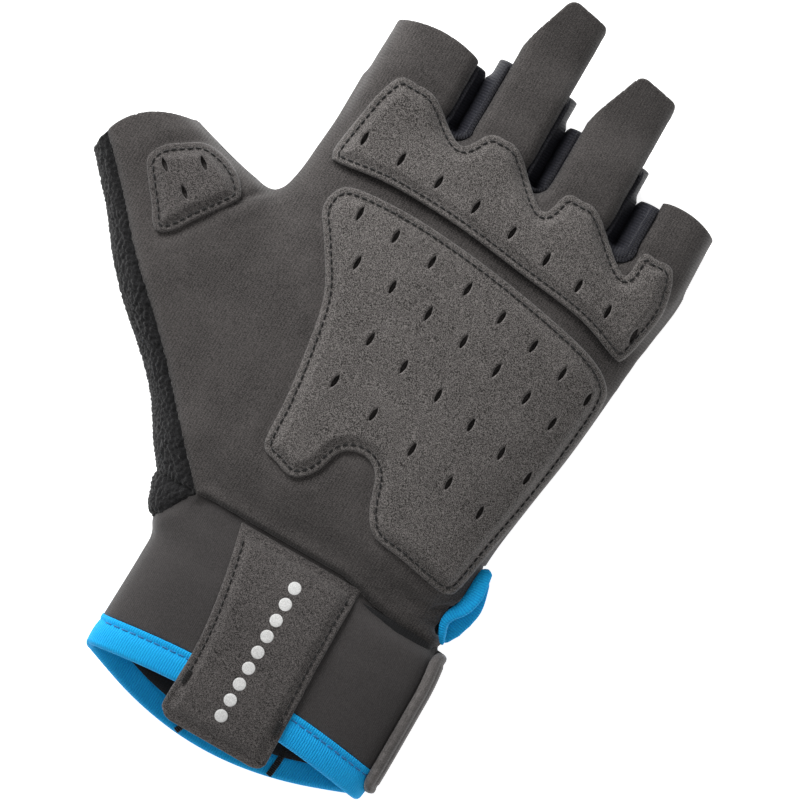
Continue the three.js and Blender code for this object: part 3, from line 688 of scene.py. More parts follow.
@dataclass
class Sheet:
    """A triangle mesh under construction."""

    points: Array
    triangles: Array

    def clipped(self, values: Array, snap: float = 0.06) -> Sheet:
        """The part of the sheet where a value at its points is at most 0, cut through its triangles.

        Args:
            values: one value for each point, linear enough to be cut between two of them.
            snap: values this near 0 count as 0, so that no sliver is left.

        Returns:
            The sheet that stays, with unused points dropped.
        """
        values = np.where(np.abs(values) < snap, 0.0, values)
        inside = values <= 0
        count = inside[self.triangles].sum(axis=1)
        whole = self.triangles[count == 3]
        one, two = self.triangles[count == 1], self.triangles[count == 2]
        one = self.rolled(one, inside[one])
        two = self.rolled(two, ~inside[two])
        pairs = np.concatenate([one[:, [0, 1]], one[:, [0, 2]], two[:, [0, 1]], two[:, [0, 2]]])
        keys, index = np.unique(np.sort(pairs, axis=1), axis=0, return_inverse=True)
        index = index.reshape(-1) + len(self.points)
        a, b = keys.T
        share = values[a] / (values[a] - values[b])
        new = self.points[a] + share[:, None] * (self.points[b] - self.points[a])
        n, m = len(one), len(two)
        ab, ac, db, dc = index[:n], index[n : 2 * n], index[2 * n : 2 * n + m], index[2 * n + m :]
        triangles = np.concatenate(
            [
                whole,
                np.column_stack([one[:, 0], ab, ac]),
                np.column_stack([db, two[:, 1], two[:, 2]]),
                np.column_stack([db, two[:, 2], dc]),
            ]
        )
        return Sheet(np.vstack([self.points, new]), triangles).tidy()

    @staticmethod
    def rolled(triangles: Array, lone: Array) -> Array:
        """Triangles turned so that their one marked corner comes first."""
        first = np.argmax(lone, axis=1)
        order = (first[:, None] + np.arange(3)) % 3
        return np.take_along_axis(triangles, order, axis=1)

    def tidy(self) -> Sheet:
        """The sheet without unused points and without triangles that have no area."""
        corners = self.points[self.triangles]
        area = np.linalg.norm(np.cross(corners[:, 1] - corners[:, 0], corners[:, 2] - corners[:, 0]), axis=1)
        triangles = self.triangles[area > 1e-7]
        used, index = np.unique(triangles, return_inverse=True)
        return Sheet(self.points[used], index.reshape(-1, 3))

    def split(self) -> Sheet:
        """The sheet with each triangle split into four at the middles of its edges."""
        a, b, c = self.triangles.T
        edges = np.sort(np.concatenate([np.column_stack(pair) for pair in ((a, b), (b, c), (c, a))]), axis=1)
        keys, index = np.unique(edges, axis=0, return_inverse=True)
        ab, bc, ca = np.split(index.reshape(-1) + len(self.points), 3)
        fine = [(a, ab, ca), (ab, b, bc), (ca, bc, c), (ab, bc, ca)]
        middles = self.points[keys].mean(axis=1)
        return Sheet(np.vstack([self.points, middles]), np.concatenate([np.column_stack(t) for t in fine]))

    def closed_with(self, under: Array) -> Sheet:
        """A closed body from this sheet as its top and the same points moved to an underside."""
        t = self.triangles
        edges = np.concatenate([t[:, [0, 1]], t[:, [1, 2]], t[:, [2, 0]]])
        low = np.sort(edges, axis=1)
        _, index, counts = np.unique(low, axis=0, return_inverse=True, return_counts=True)
        rim = edges[counts[index.reshape(-1)] == 1]
        n = len(self.points)
        a, b = rim.T
        walls = np.concatenate([np.column_stack([b, a, a + n]), np.column_stack([b, a + n, b + n])])
        triangles = np.concatenate([t, t[:, ::-1] + n, walls])
        return Sheet(np.vstack([self.points, under]), triangles)


def lattice(low: Array, high: Array, pitch: float) -> Sheet:
    """A flat sheet of triangles on a square lattice in plan, at height 0, facing up."""
    nx, ny = (np.ceil((np.array(high) - low) / pitch).astype(int) + 1).tolist()
    x, y = np.meshgrid(low[0] + pitch * np.arange(nx), low[1] + pitch * np.arange(ny), indexing="ij")
    points = np.column_stack([x.ravel(), y.ravel(), np.zeros(nx * ny)])
    i, j = (v.ravel() for v in np.meshgrid(np.arange(nx - 1), np.arange(ny - 1), indexing="ij"))
    a, b, c, d = i * ny + j, (i + 1) * ny + j, (i + 1) * ny + j + 1, i * ny + j + 1
    odd = (i + j) % 2 == 1
    first = np.column_stack([a, b, np.where(odd, d, c)])
    second = np.column_stack([np.where(odd, b, a), c, d])
    return Sheet(points, np.concatenate([first, second]))


def surface_net(distance: Field, low: Sequence[float], high: Sequence[float], cell: float) -> Sheet:
    """The surface where a field is 0, as a net with one point for each cell that it crosses.

    A cell's point is the mean of the places where the field crosses 0 on the cell's twelve edges, and each
    crossed edge of the lattice gives a quad between the four cells round it.

    Args:
        distance: the field.
        low: lowest corner of the box that is searched.
        high: highest corner.
        cell: size of a cell.

    Returns:
        The surface, facing out of the field's negative side.
    """
    axes = [np.arange(a, b + cell, cell) for a, b in zip(low, high)]
    shape = tuple(len(a) for a in axes)
    grid = np.stack(np.meshgrid(*axes, indexing="ij"), axis=-1).reshape(-1, 3)
    value = np.concatenate([distance(part) for part in np.array_split(grid, 24)]).reshape(shape)
    inside = value < 0
    nx, ny, nz = shape
    corner = [(i, j, k) for i in (0, 1) for j in (0, 1) for k in (0, 1)]
    held = sum(inside[i : nx - 1 + i, j : ny - 1 + j, k : nz - 1 + k].astype(np.int8) for i, j, k in corner)
    mixed = (held > 0) & (held < 8)
    number = np.full(mixed.shape, -1)
    number[mixed] = np.arange(mixed.sum())
    base = np.argwhere(mixed)
    total, hits = np.zeros((len(base), 3)), np.zeros(len(base))
    for c in corner:
        for k in range(3):
            if c[k]:
                continue
            d = tuple(1 if m == k else c[m] for m in range(3))
            a = value[tuple((base + c).T)]
            b = value[tuple((base + d).T)]
            cut = (a < 0) != (b < 0)
            share = np.where(cut, a / np.where(cut, a - b, 1.0), 0.0)
            place = base + np.array(c) + share[:, None] * np.eye(3)[k]
            total += np.where(cut[:, None], place, 0.0)
            hits += cut
    points = np.array([a[0] for a in axes]) + cell * total / hits[:, None]
    quads = []
    for k in range(3):
        u, v = [(1, 2), (2, 0), (0, 1)][k]
        spans = [slice(1, -1)] * 3
        spans[k] = slice(0, shape[k] - 1)
        ahead = list(spans)
        ahead[k] = slice(1, shape[k])
        here, there = inside[tuple(spans)], inside[tuple(ahead)]
        where = np.argwhere(here != there)
        start = where + [0 if m == k else 1 for m in range(3)]
        out = here[tuple(where.T)]
        cells = []
        for du, dv in ((-1, -1), (0, -1), (0, 0), (-1, 0)):
            shift = np.zeros(3, dtype=int)
            shift[u], shift[v] = du, dv
            cells.append(number[tuple((start + shift).T)])
        quad = np.column_stack(cells)
        quads.append(np.where(out[:, None], quad, quad[:, ::-1]))
    quad = np.concatenate(quads)
    return Sheet(points, np.concatenate([quad[:, [0, 1, 2]], quad[:, [0, 2, 3]]]))


def grid_faces(rows: int, columns: int, wrap_rows: bool = False, wrap_columns: bool = False) -> Array:
    """Quads of a grid whose points are stored row by row, closed on itself where it wraps."""
    down, along = np.arange(rows - (not wrap_rows)), np.arange(columns - (not wrap_columns))
    i, j = np.meshgrid(down, along, indexing="ij")
    i, j = i.ravel(), j.ravel()
    i1, j1 = (i + 1) % rows, (j + 1) % columns
    return np.column_stack([i * columns + j, i1 * columns + j, i1 * columns + j1, i * columns + j1])


def cap_faces(first: int, sides: int, turned: bool) -> Array:
    """Quads that close a ring of an even number of points, turned over where the ring ends a grid."""
    k = np.arange(sides // 2 - 1)
    faces = first + np.column_stack([k, k + 1, sides - 2 - k, sides - 1 - k])
    return faces[:, ::-1] if turned else faces


def capped_faces(rows: int, sides: int) -> Array:
    """Faces of a closed tube of rings, capped at both ends."""
    ends = [cap_faces(0, sides, False), cap_faces((rows - 1) * sides, sides, True)]
    return np.vstack([grid_faces(rows, sides, wrap_columns=True), *ends])


def make_object(name: str, points: Array, faces: Array, uv: Array | None = None) -> bpy.types.Object:
    """A smooth-shaded Blender object from points in millimetres and faces of one size.

    Args:
        name: the piece's name.
        points: rows of x, y and z.
        faces: rows of point numbers.
        uv: one pair of texture coordinates for each point.

    Returns:
        The object, at the origin.
    """
    mesh = bpy.data.meshes.new(name)
    mesh.vertices.add(len(points))
    mesh.vertices.foreach_set("co", (points * MM).astype(np.float32).ravel())
    mesh.loops.add(faces.size)
    mesh.loops.foreach_set("vertex_index", faces.astype(np.int32).ravel())
    mesh.polygons.add(len(faces))
    mesh.polygons.foreach_set("loop_start", (np.arange(len(faces)) * faces.shape[1]).astype(np.int32))
    mesh.update(calc_edges=True)
    mesh.validate()
    if uv is not None:
        layer = mesh.uv_layers.new(name="path")
        layer.data.foreach_set("uv", uv[faces.ravel()].astype(np.float32).ravel())
    mesh.shade_smooth()
    piece = bpy.data.objects.new(name, mesh)
    bpy.context.scene.collection.objects.link(piece)
    return piece


def add_value(piece: bpy.types.Object, name: str, values: Array) -> None:
    """Stores one number for each point, for the materials."""
    layer = piece.data.attributes.new(name, "FLOAT", "POINT")
    layer.data.foreach_set("value", values.astype(np.float32))


def slab(outer: Array, inner: Array) -> tuple[Array, Array]:
    """A closed body between two grids of points that share their layout.

    Args:
        outer: points of the outer face, as rows by columns by 3, seen from outside with rows running to the
            left of the columns' direction.
        inner: the matching points of the inner face.

    Returns:
        The points and the quads.
    """
    rows, columns = outer.shape[:2]
    n = rows * columns
    face = grid_faces(rows, columns)
    index = np.arange(n).reshape(rows, columns)
    rim = np.concatenate([index[0, :-1], index[:-1, -1], index[-1, :0:-1], index[:0:-1, 0]])
    after = np.roll(rim, -1)
    walls = np.column_stack([rim, after, after + n, rim + n])
    points = np.concatenate([outer.reshape(-1, 3), inner.reshape(-1, 3)])
    return points, np.concatenate([face, face[:, ::-1] + n, walls])


def ribbon(before: tuple[Array, Array], here: tuple[Array, Array]) -> list[Array]:
    """Triangles between two neighbouring rows of rim points, each given by its edges' two ends."""
    return [np.column_stack([before[1], before[0], here[0]]), np.column_stack([before[1], here[0], here[1]])]


def walled(sheet: Sheet, normals: Array, thickness: float, rings: int = 3) -> Sheet:
    """A closed piece of fabric from its outer face, with a rounded edge.

    Each edge point is carried round a half circle: inwards along the normal by half the thickness times one
    minus the cosine, and outwards from the sheet by half the thickness times the sine.

    Args:
        sheet: the outer face.
        normals: outward normals at its points.
        thickness: how far in the inner face lies.
        rings: points between the outer and the inner face round the edge.

    Returns:
        The closed piece, with the outer face's points first.
    """
    p, t = sheet.points, sheet.triangles
    edges = np.concatenate([t[:, [0, 1]], t[:, [1, 2]], t[:, [2, 0]]])
    _, index, counts = np.unique(np.sort(edges, axis=1), axis=0, return_inverse=True, return_counts=True)
    rim = edges[counts[index.reshape(-1)] == 1]
    a, b = rim.T
    outward = np.zeros_like(p)
    side = np.cross(p[b] - p[a], normals[a] + normals[b])
    np.add.at(outward, a, side)
    np.add.at(outward, b, side)
    used = np.unique(rim)
    place = np.full(len(p), -1)
    place[used] = np.arange(len(used))
    length = np.linalg.norm(outward[used], axis=1, keepdims=True)
    outward = outward[used] / np.maximum(length, 1e-9)
    half, n, r = thickness / 2, len(p), len(used)
    layers, faces = [p], [t]
    before = (a, b)
    for k in range(1, rings + 1):
        turn = math.pi * k / (rings + 1)
        inwards = normals[used] * half * (1 - math.cos(turn))
        layers.append(p[used] - inwards + outward * 0.6 * half * math.sin(turn))
        here = (n + (k - 1) * r + place[a], n + (k - 1) * r + place[b])
        faces += ribbon(before, here)
        before = here
    start = n + rings * r
    layers.append(p - normals * thickness)
    here = (start + a, start + b)
    faces += ribbon(before, here)
    faces.append(t[:, ::-1] + start)
    return Sheet(np.concatenate(layers), np.concatenate(faces))


# Shader nodes


class Nodes:
    """Short calls that add nodes to one tree."""

    def __init__(self, tree: bpy.types.NodeTree) -> None:
        """Keeps the tree."""
        self.tree = tree

    def add(self, kind: str, **settings: object) -> bpy.types.Node:
        """Adds a node and sets its properties."""
        node = self.tree.nodes.new(kind)
        for name, value in settings.items():
            setattr(node, name, value)
        return node

    def feed(self, socket: bpy.types.NodeSocket, value: object) -> None:
        """Links a socket to another one, or sets its value."""
        if isinstance(value, bpy.types.NodeSocket):
            self.tree.links.new(value, socket)
        elif value is not None:
            socket.default_value = value

    def maths(self, operation: str, *values: object, clamp: bool = False) -> bpy.types.NodeSocket:
        """The result of a Math node."""
        node = self.add("ShaderNodeMath", operation=operation, use_clamp=clamp)
        for socket, value in zip(node.inputs, values):
            self.feed(socket, value)
        return node.outputs[0]

    def zigzag(self, value: object) -> bpy.types.NodeSocket:
        """A zigzag between 1 and 0 with a period of 1."""
        doubled = self.maths("MULTIPLY", self.maths("FRACT", value), 2.0)
        return self.maths("ABSOLUTE", self.maths("SUBTRACT", doubled, 1.0))

    def vector(self, operation: str, *values: object) -> bpy.types.NodeSocket:
        """The result of a Vector Math node."""
        node = self.add("ShaderNodeVectorMath", operation=operation)
        places = [0, 3] if operation == "SCALE" else [0, 1, 2]
        for place, value in zip(places, values):
            self.feed(node.inputs[place], value)
        return node.outputs[0]

    def parts(self, vector: bpy.types.NodeSocket) -> list[bpy.types.NodeSocket]:
        """The three components of a vector."""
        node = self.add("ShaderNodeSeparateXYZ")
        self.feed(node.inputs[0], vector)
        return list(node.outputs)

    def noise(self, vector: bpy.types.NodeSocket, size: float, detail: float = 2.0) -> bpy.types.NodeSocket:
        """Noise from 0 to 1 whose spots are about the size given, in millimetres."""
        node = self.add("ShaderNodeTexNoise")
        self.feed(node.inputs["Vector"], vector)
        self.feed(node.inputs["Scale"], 1.0 / (size * MM))
        self.feed(node.inputs["Detail"], detail)
        return node.outputs[0]

    def blend(self, share: object, a: object, b: object) -> bpy.types.NodeSocket:
        """A colour between two."""
        node = self.add("ShaderNodeMix", data_type="RGBA")
        for place, value in ((0, share), (6, a), (7, b)):
            self.feed(node.inputs[place], value)
        return node.outputs[2]

    def between(self, value: object, low: float, high: float) -> bpy.types.NodeSocket:
        """A soft step from 0 at low to 1 at high."""
        node = self.add("ShaderNodeMapRange", interpolation_type="SMOOTHSTEP")
        for place, number in ((0, value), (1, low), (2, high), (3, 0.0), (4, 1.0)):
            self.feed(node.inputs[place], number)
        return node.outputs[0]


class Effects:
    """The node groups that several finishes share. Each puts out masks and heights only."""

    def __init__(self) -> None:
        """Builds the groups once."""
        self.knit = self.knit_group()
        self.grain = self.grain_group()
        self.ribs = self.ribs_group()
        self.rub_and_highlight = self.rub_and_highlight_group()

    @staticmethod
    def group(name: str, ins: dict[str, tuple[str, object]], outs: Sequence[str]) -> tuple[Nodes, dict, dict]:
        """An empty group with its sockets.

        Args:
            name: the group's name.
            ins: each input's socket type and value.
            outs: names of the float outputs.

        Returns:
            The node calls, the input sockets inside and the output sockets inside.
        """
        tree = bpy.data.node_groups.new(name, "ShaderNodeTree")
        for label, (kind, value) in ins.items():
            socket = tree.interface.new_socket(label, in_out="INPUT", socket_type=kind)
            if value is not None:
                socket.default_value = value
        for label in outs:
            tree.interface.new_socket(label, in_out="OUTPUT", socket_type="NodeSocketFloat")
        nodes = Nodes(tree)
        start, end = nodes.add("NodeGroupInput"), nodes.add("NodeGroupOutput")
        return nodes, {s.name: s for s in start.outputs}, {s.name: s for s in end.inputs}

    def knit_group(self) -> bpy.types.NodeTree:
        """Rows of small stitches, seen square on from the side that the surface faces most.

        On each of the three planes the rows are a wave across and, with half the pitch, a wave along that
        leans to and fro, which draws the V of a knitted loop. The planes blend by the normal.
        """
        ins = {"Vector": ("NodeSocketVector", None), "Pitch": ("NodeSocketFloat", 0.5 * MM)}
        n, i, o = self.group("knit", ins, ["Height"])
        place = n.vector("DIVIDE", i["Vector"], n.vector("SCALE", (1.0, 1.0, 1.0), i["Pitch"]))
        x, y, z = n.parts(place)
        normal = n.add("ShaderNodeNewGeometry").outputs["Normal"]
        weights = [n.maths("POWER", n.maths("ABSOLUTE", part), 4.0) for part in n.parts(normal)]
        total = n.maths("ADD", n.maths("ADD", weights[0], weights[1]), n.maths("ADD", weights[2], 1e-4))
        height = None
        for (u, v), weight in zip(((y, z), (x, z), (x, y)), weights):
            column = n.zigzag(u)
            lean = n.maths("ADD", n.maths("MULTIPLY", v, 1.6), n.maths("MULTIPLY", column, 0.6))
            loop = n.zigzag(lean)
            bead = n.maths("MULTIPLY", loop, n.maths("SUBTRACT", 1.0, n.maths("MULTIPLY", column, column)))
            part = n.maths("MULTIPLY", bead, n.maths("DIVIDE", weight, total))
            height = part if height is None else n.maths("ADD", height, part)
        n.feed(o["Height"], height)
        return n.tree

    def grain_group(self) -> bpy.types.NodeTree:
        """Short fibres and flecks: fine noise sharpened, with broad soft patches over it."""
        ins = {"Vector": ("NodeSocketVector", None), "Size": ("NodeSocketFloat", 0.4 * MM)}
        n, i, o = self.group("grain", ins, ["Fleck", "Height", "Patch"])
        place = n.vector("DIVIDE", i["Vector"], n.vector("SCALE", (1.0, 1.0, 1.0), i["Size"]))
        fine, coarse = n.add("ShaderNodeTexNoise"), n.add("ShaderNodeTexNoise")
        for node, scale, detail in ((fine, 1.0, 1.0), (coarse, 0.45, 1.0)):
            n.feed(node.inputs["Vector"], place)
            n.feed(node.inputs["Scale"], scale)
            n.feed(node.inputs["Detail"], detail)
        most, rest = n.maths("MULTIPLY", fine.outputs[0], 0.8), n.maths("MULTIPLY", coarse.outputs[0], 0.2)
        mixed = n.maths("ADD", most, rest)
        n.feed(o["Fleck"], n.between(mixed, 0.36, 0.66))
        n.feed(o["Height"], mixed)
        n.feed(o["Patch"], n.between(n.noise(i["Vector"], 14.0), 0.35, 0.65))
        return n.tree

    def ribs_group(self) -> bpy.types.NodeTree:
        """Ribs across a tape, from its path map in millimetres: rounded ridges, with a painted shadow between
        them.
        """
        ins = {"Path": ("NodeSocketVector", None), "Pitch": ("NodeSocketFloat", 0.6)}
        n, i, o = self.group("ribs", ins, ["Height", "GapShade"])
        u, v, _ = n.parts(i["Path"])
        wobble = n.maths("MULTIPLY", n.maths("SINE", n.maths("MULTIPLY", v, 4.0)), 0.04)
        turn = n.maths("DIVIDE", n.maths("ADD", u, wobble), i["Pitch"])
        wave = n.maths("ABSOLUTE", n.maths("SINE", n.maths("MULTIPLY", turn, math.pi)))
        thread = n.maths("ABSOLUTE", n.maths("SINE", n.maths("MULTIPLY", v, math.pi / 0.35)))
        n.feed(o["Height"], n.maths("ADD", wave, n.maths("MULTIPLY", thread, 0.15)))
        n.feed(o["GapShade"], n.maths("SUBTRACT", 1.0, n.between(wave, 0.05, 0.55)))
        return n.tree

    def rub_and_highlight_group(self) -> bpy.types.NodeTree:
        """Pale rubbing where a piece is nearest to its edge, broken up by noise; round the pads' slits it is
        a painted highlight on the lips.
        """
        ins = {"Vector": ("NodeSocketVector", None), "Edge": ("NodeSocketFloat", 0.0)}
        n, i, o = self.group("rub_and_highlight", ins, ["Mask"])
        broken = n.between(n.noise(i["Vector"], 1.3, 3.0), 0.38, 0.66)
        n.feed(o["Mask"], n.maths("MULTIPLY", n.between(i["Edge"], 0.2, 1.0), broken, clamp=True))
        return n.tree


Colour = tuple[float, float, float]


class Slot(Enum):
    """The record's material slots."""

    PALM = "palm_fabric"
    BACK = "back_knit"
    TERRY = "terry"
    GUSSET = "gusset_fabric"
    SUEDE = "suede"
    WRIST = "wrist_fabric"
    BINDING = "blue_binding"
    STRAP = "strap_fabric"


@dataclass(frozen=True)
class Finish:
    """One finish of the glove: two colours, how it shines, and the relief of its weave and fibres.

    The knit pitch, the fibre size and the rib pitch are millimetres, and the relief depths too. The base is
    the share of the light colour before anything is added.
    """

    name: str
    dark: Colour
    light: Colour
    roughness: float = 0.88
    sheen: float = 0.25
    specular: float = 0.3
    pitch: float = 0.5
    knit: float = 0.35
    knit_depth: float = 0.05
    fibre: float = 0.3
    fleck: float = 0.35
    fibre_depth: float = 0.04
    patch: float = 0.12
    base: float = 0.0
    rib: float = 0.0
    rib_depth: float = 0.12

    def material(self, effects: Effects) -> bpy.types.Material:
        """The Blender material.

        The knit's valleys take the dark colour and its fibres the light one. Broad patches shift it a little
        further, pale rubbing lightens worn edges and paints a highlight on slit lips, and the seam mask
        darkens it as painted shade in seams, under the upper pad's lower edge and on the pads' walls and
        undersides.

        Args:
            effects: the shared node groups.

        Returns:
            The material.
        """
        material = bpy.data.materials.new(self.name)
        material.use_nodes = True
        n = Nodes(material.node_tree)
        shader = n.tree.nodes["Principled BSDF"]
        place = n.add("ShaderNodeTexCoord").outputs["Object"]
        knit = n.add("ShaderNodeGroup", node_tree=effects.knit)
        grain = n.add("ShaderNodeGroup", node_tree=effects.grain)
        rub_and_highlight = n.add("ShaderNodeGroup", node_tree=effects.rub_and_highlight)
        seam = n.add("ShaderNodeAttribute", attribute_name="seam").outputs["Fac"]
        for node in (knit, grain, rub_and_highlight):
            n.feed(node.inputs["Vector"], place)
        n.feed(knit.inputs["Pitch"], self.pitch * MM)
        n.feed(grain.inputs["Size"], self.fibre * MM)
        n.feed(rub_and_highlight.inputs["Edge"], n.add("ShaderNodeAttribute", attribute_name="edge").outputs["Fac"])
        tone = n.maths("ADD", n.maths("MULTIPLY", knit.outputs["Height"], self.knit), self.base)
        tone = n.maths("ADD", tone, n.maths("MULTIPLY", grain.outputs["Fleck"], self.fleck))
        tone = n.maths("ADD", tone, n.maths("MULTIPLY", grain.outputs["Patch"], self.patch))
        # pale rubbing on worn edges, and a painted highlight on the pads' slit lips
        tone = n.maths("ADD", tone, n.maths("MULTIPLY", rub_and_highlight.outputs["Mask"], 0.22))
        # the seam attribute is painted shade: seams, under the upper pad, pad grooves, walls and undersides
        tone = n.maths("SUBTRACT", tone, n.maths("MULTIPLY", seam, 0.25), clamp=True)
        relief = n.maths("MULTIPLY", knit.outputs["Height"], self.knit_depth)
        relief = n.maths("ADD", relief, n.maths("MULTIPLY", grain.outputs["Height"], self.fibre_depth))
        if self.rib:
            ribs = n.add("ShaderNodeGroup", node_tree=effects.ribs)
            n.feed(ribs.inputs["Path"], n.add("ShaderNodeUVMap", uv_map="path").outputs[0])
            n.feed(ribs.inputs["Pitch"], self.rib)
            # painted shadow in the gaps between the ribs
            tone = n.maths("SUBTRACT", tone, n.maths("MULTIPLY", ribs.outputs["GapShade"], 0.55), clamp=True)
            relief = n.maths("ADD", relief, n.maths("MULTIPLY", ribs.outputs["Height"], self.rib_depth))
        n.feed(shader.inputs["Base Color"], n.blend(tone, (*self.dark, 1.0), (*self.light, 1.0)))
        bump = n.add("ShaderNodeBump")
        bump.inputs["Distance"].default_value = MM
        n.feed(bump.inputs["Height"], relief)
        n.feed(shader.inputs["Normal"], bump.outputs[0])
        shader.inputs["Roughness"].default_value = self.roughness
        shader.inputs["Specular IOR Level"].default_value = self.specular
        shader.inputs["Sheen Weight"].default_value = self.sheen
        shader.inputs["Sheen Roughness"].default_value = 0.45
        return material


FINISHES = {
    "palm": Finish("palm_fabric", (0.016, 0.0142, 0.0137), (0.122, 0.111, 0.107), knit=0.44, fleck=0.5,
                   pitch=0.8, knit_depth=0.07),
    "band": Finish("wrist_fabric", (0.028, 0.0255, 0.025), (0.1, 0.0915, 0.0905), knit=0.4, fleck=0.3,
                   patch=0.06),
    "back": Finish("back_knit", (0.012, 0.012, 0.013), (0.062, 0.06, 0.062), pitch=1.1, knit_depth=0.2),
    "lining": Finish("black_lining", (0.006, 0.006, 0.007), (0.02, 0.02, 0.021), pitch=0.8, knit_depth=0.1),
    "terry": Finish("terry_pile", (0.001, 0.001, 0.0013), (0.02, 0.0195, 0.021), pitch=0.9, knit=0.15,
                    fibre=0.3, fleck=0.6, fibre_depth=0.3, sheen=0.12),
    "gusset": Finish("gusset_fabric", (0.002, 0.002, 0.0035), (0.045, 0.046, 0.06), roughness=0.5, sheen=0.0,
                     specular=0.3, pitch=0.8, knit=0.85, knit_depth=0.16, fleck=0.15),
    "gusset_lip": Finish("gusset_lip", (0.002, 0.002, 0.003), (0.024, 0.024, 0.032), roughness=0.6, sheen=0.0,
                         pitch=0.5, knit=0.4, knit_depth=0.1, rib=0.8, rib_depth=0.2, base=0.3),
    "suede": Finish("suede", (0.014, 0.012, 0.011), (0.27, 0.25, 0.24), roughness=0.93, pitch=0.7, knit=0.0,
                    knit_depth=0.0, fibre=0.24, fleck=0.72, fibre_depth=0.13, patch=0.05),
    "dark_suede": Finish("dark_suede", (0.013, 0.0115, 0.011), (0.2, 0.183, 0.177), roughness=0.93, pitch=0.7,
                         knit=0.0, knit_depth=0.0, fibre=0.24, fleck=0.7, fibre_depth=0.12, patch=0.04),
    "binding": Finish("blue_binding", (0.002, 0.2, 0.74), (0.013, 0.49, 0.93), roughness=0.7, sheen=0.0,
                      specular=0.15, knit=0.1, fleck=0.2, patch=0.1, base=0.68, pitch=0.3, knit_depth=0.02,
                      rib=0.7),
    "strap": Finish("strap_fabric", (0.055, 0.05, 0.048), (0.2, 0.186, 0.181), pitch=0.6, fibre=0.3),
    "thread": Finish("sewing_thread", (0.004, 0.0036, 0.0034), (0.018, 0.0165, 0.016), roughness=0.6,
                     pitch=0.2),
    "blue_thread": Finish("blue_thread", (0.004, 0.13, 0.4), (0.012, 0.34, 0.7), roughness=0.55, pitch=0.2),
    "dots": Finish("white_print", (0.62, 0.62, 0.61), (0.9, 0.9, 0.89), roughness=0.5, sheen=0.0, knit=0.3,
                   fleck=0.6, fibre=0.3, fibre_depth=0.02),
}


class Wardrobe:
    """Makes each finish once and puts it on pieces."""

    def __init__(self) -> None:
        """Builds the shared effects."""
        self.effects = Effects()
        self.made: dict[str, bpy.types.Material] = {}

    def dress(self, piece: bpy.types.Object, finish: str, slot: Slot) -> None:
        """Gives a piece its finish, and lets it ride on the glove.

        Args:
            piece: the object.
            finish: name of the finish.
            slot: the record's material slot; not used.
        """
        if finish not in self.made:
            self.made[finish] = FINISHES[finish].material(self.effects)
        piece.data.materials.append(self.made[finish])
        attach(piece, "root")


# The sub-assemblies


def palm_pleats() -> list[Fold]:
    """The creases and ridges of the palm: at the thumb's crotch, at the side vent and beside the main pad."""
    return [
        Fold([(-69.5, 21), (-65, 23.5), (-61, 27), (-57, 31)], 1.1, 0.9),
        Fold([(-71, 17.5), (-65, 19.5), (-59.5, 23.5), (-55, 29)], 2.2, -0.5),
        Fold([(40.5, -39.8), (36.5, -43.5), (35.5, -45)], 1.0, 1.2),
        Fold([(35, -47.4), (38, -46.9), (41.5, -48.6)], 1.0, 0.9),
        Fold([(25, -43.5), (30, -44.2), (35, -42.5), (39, -38)], 1.8, 0.9),
        Fold([(17, -43), (24, -46), (30, -47.5), (35, -45.5)], 2.0, -0.5),
        Fold([(-56, 12), (-50, 24), (-44, 36)], 4.0, 0.35),
    ]


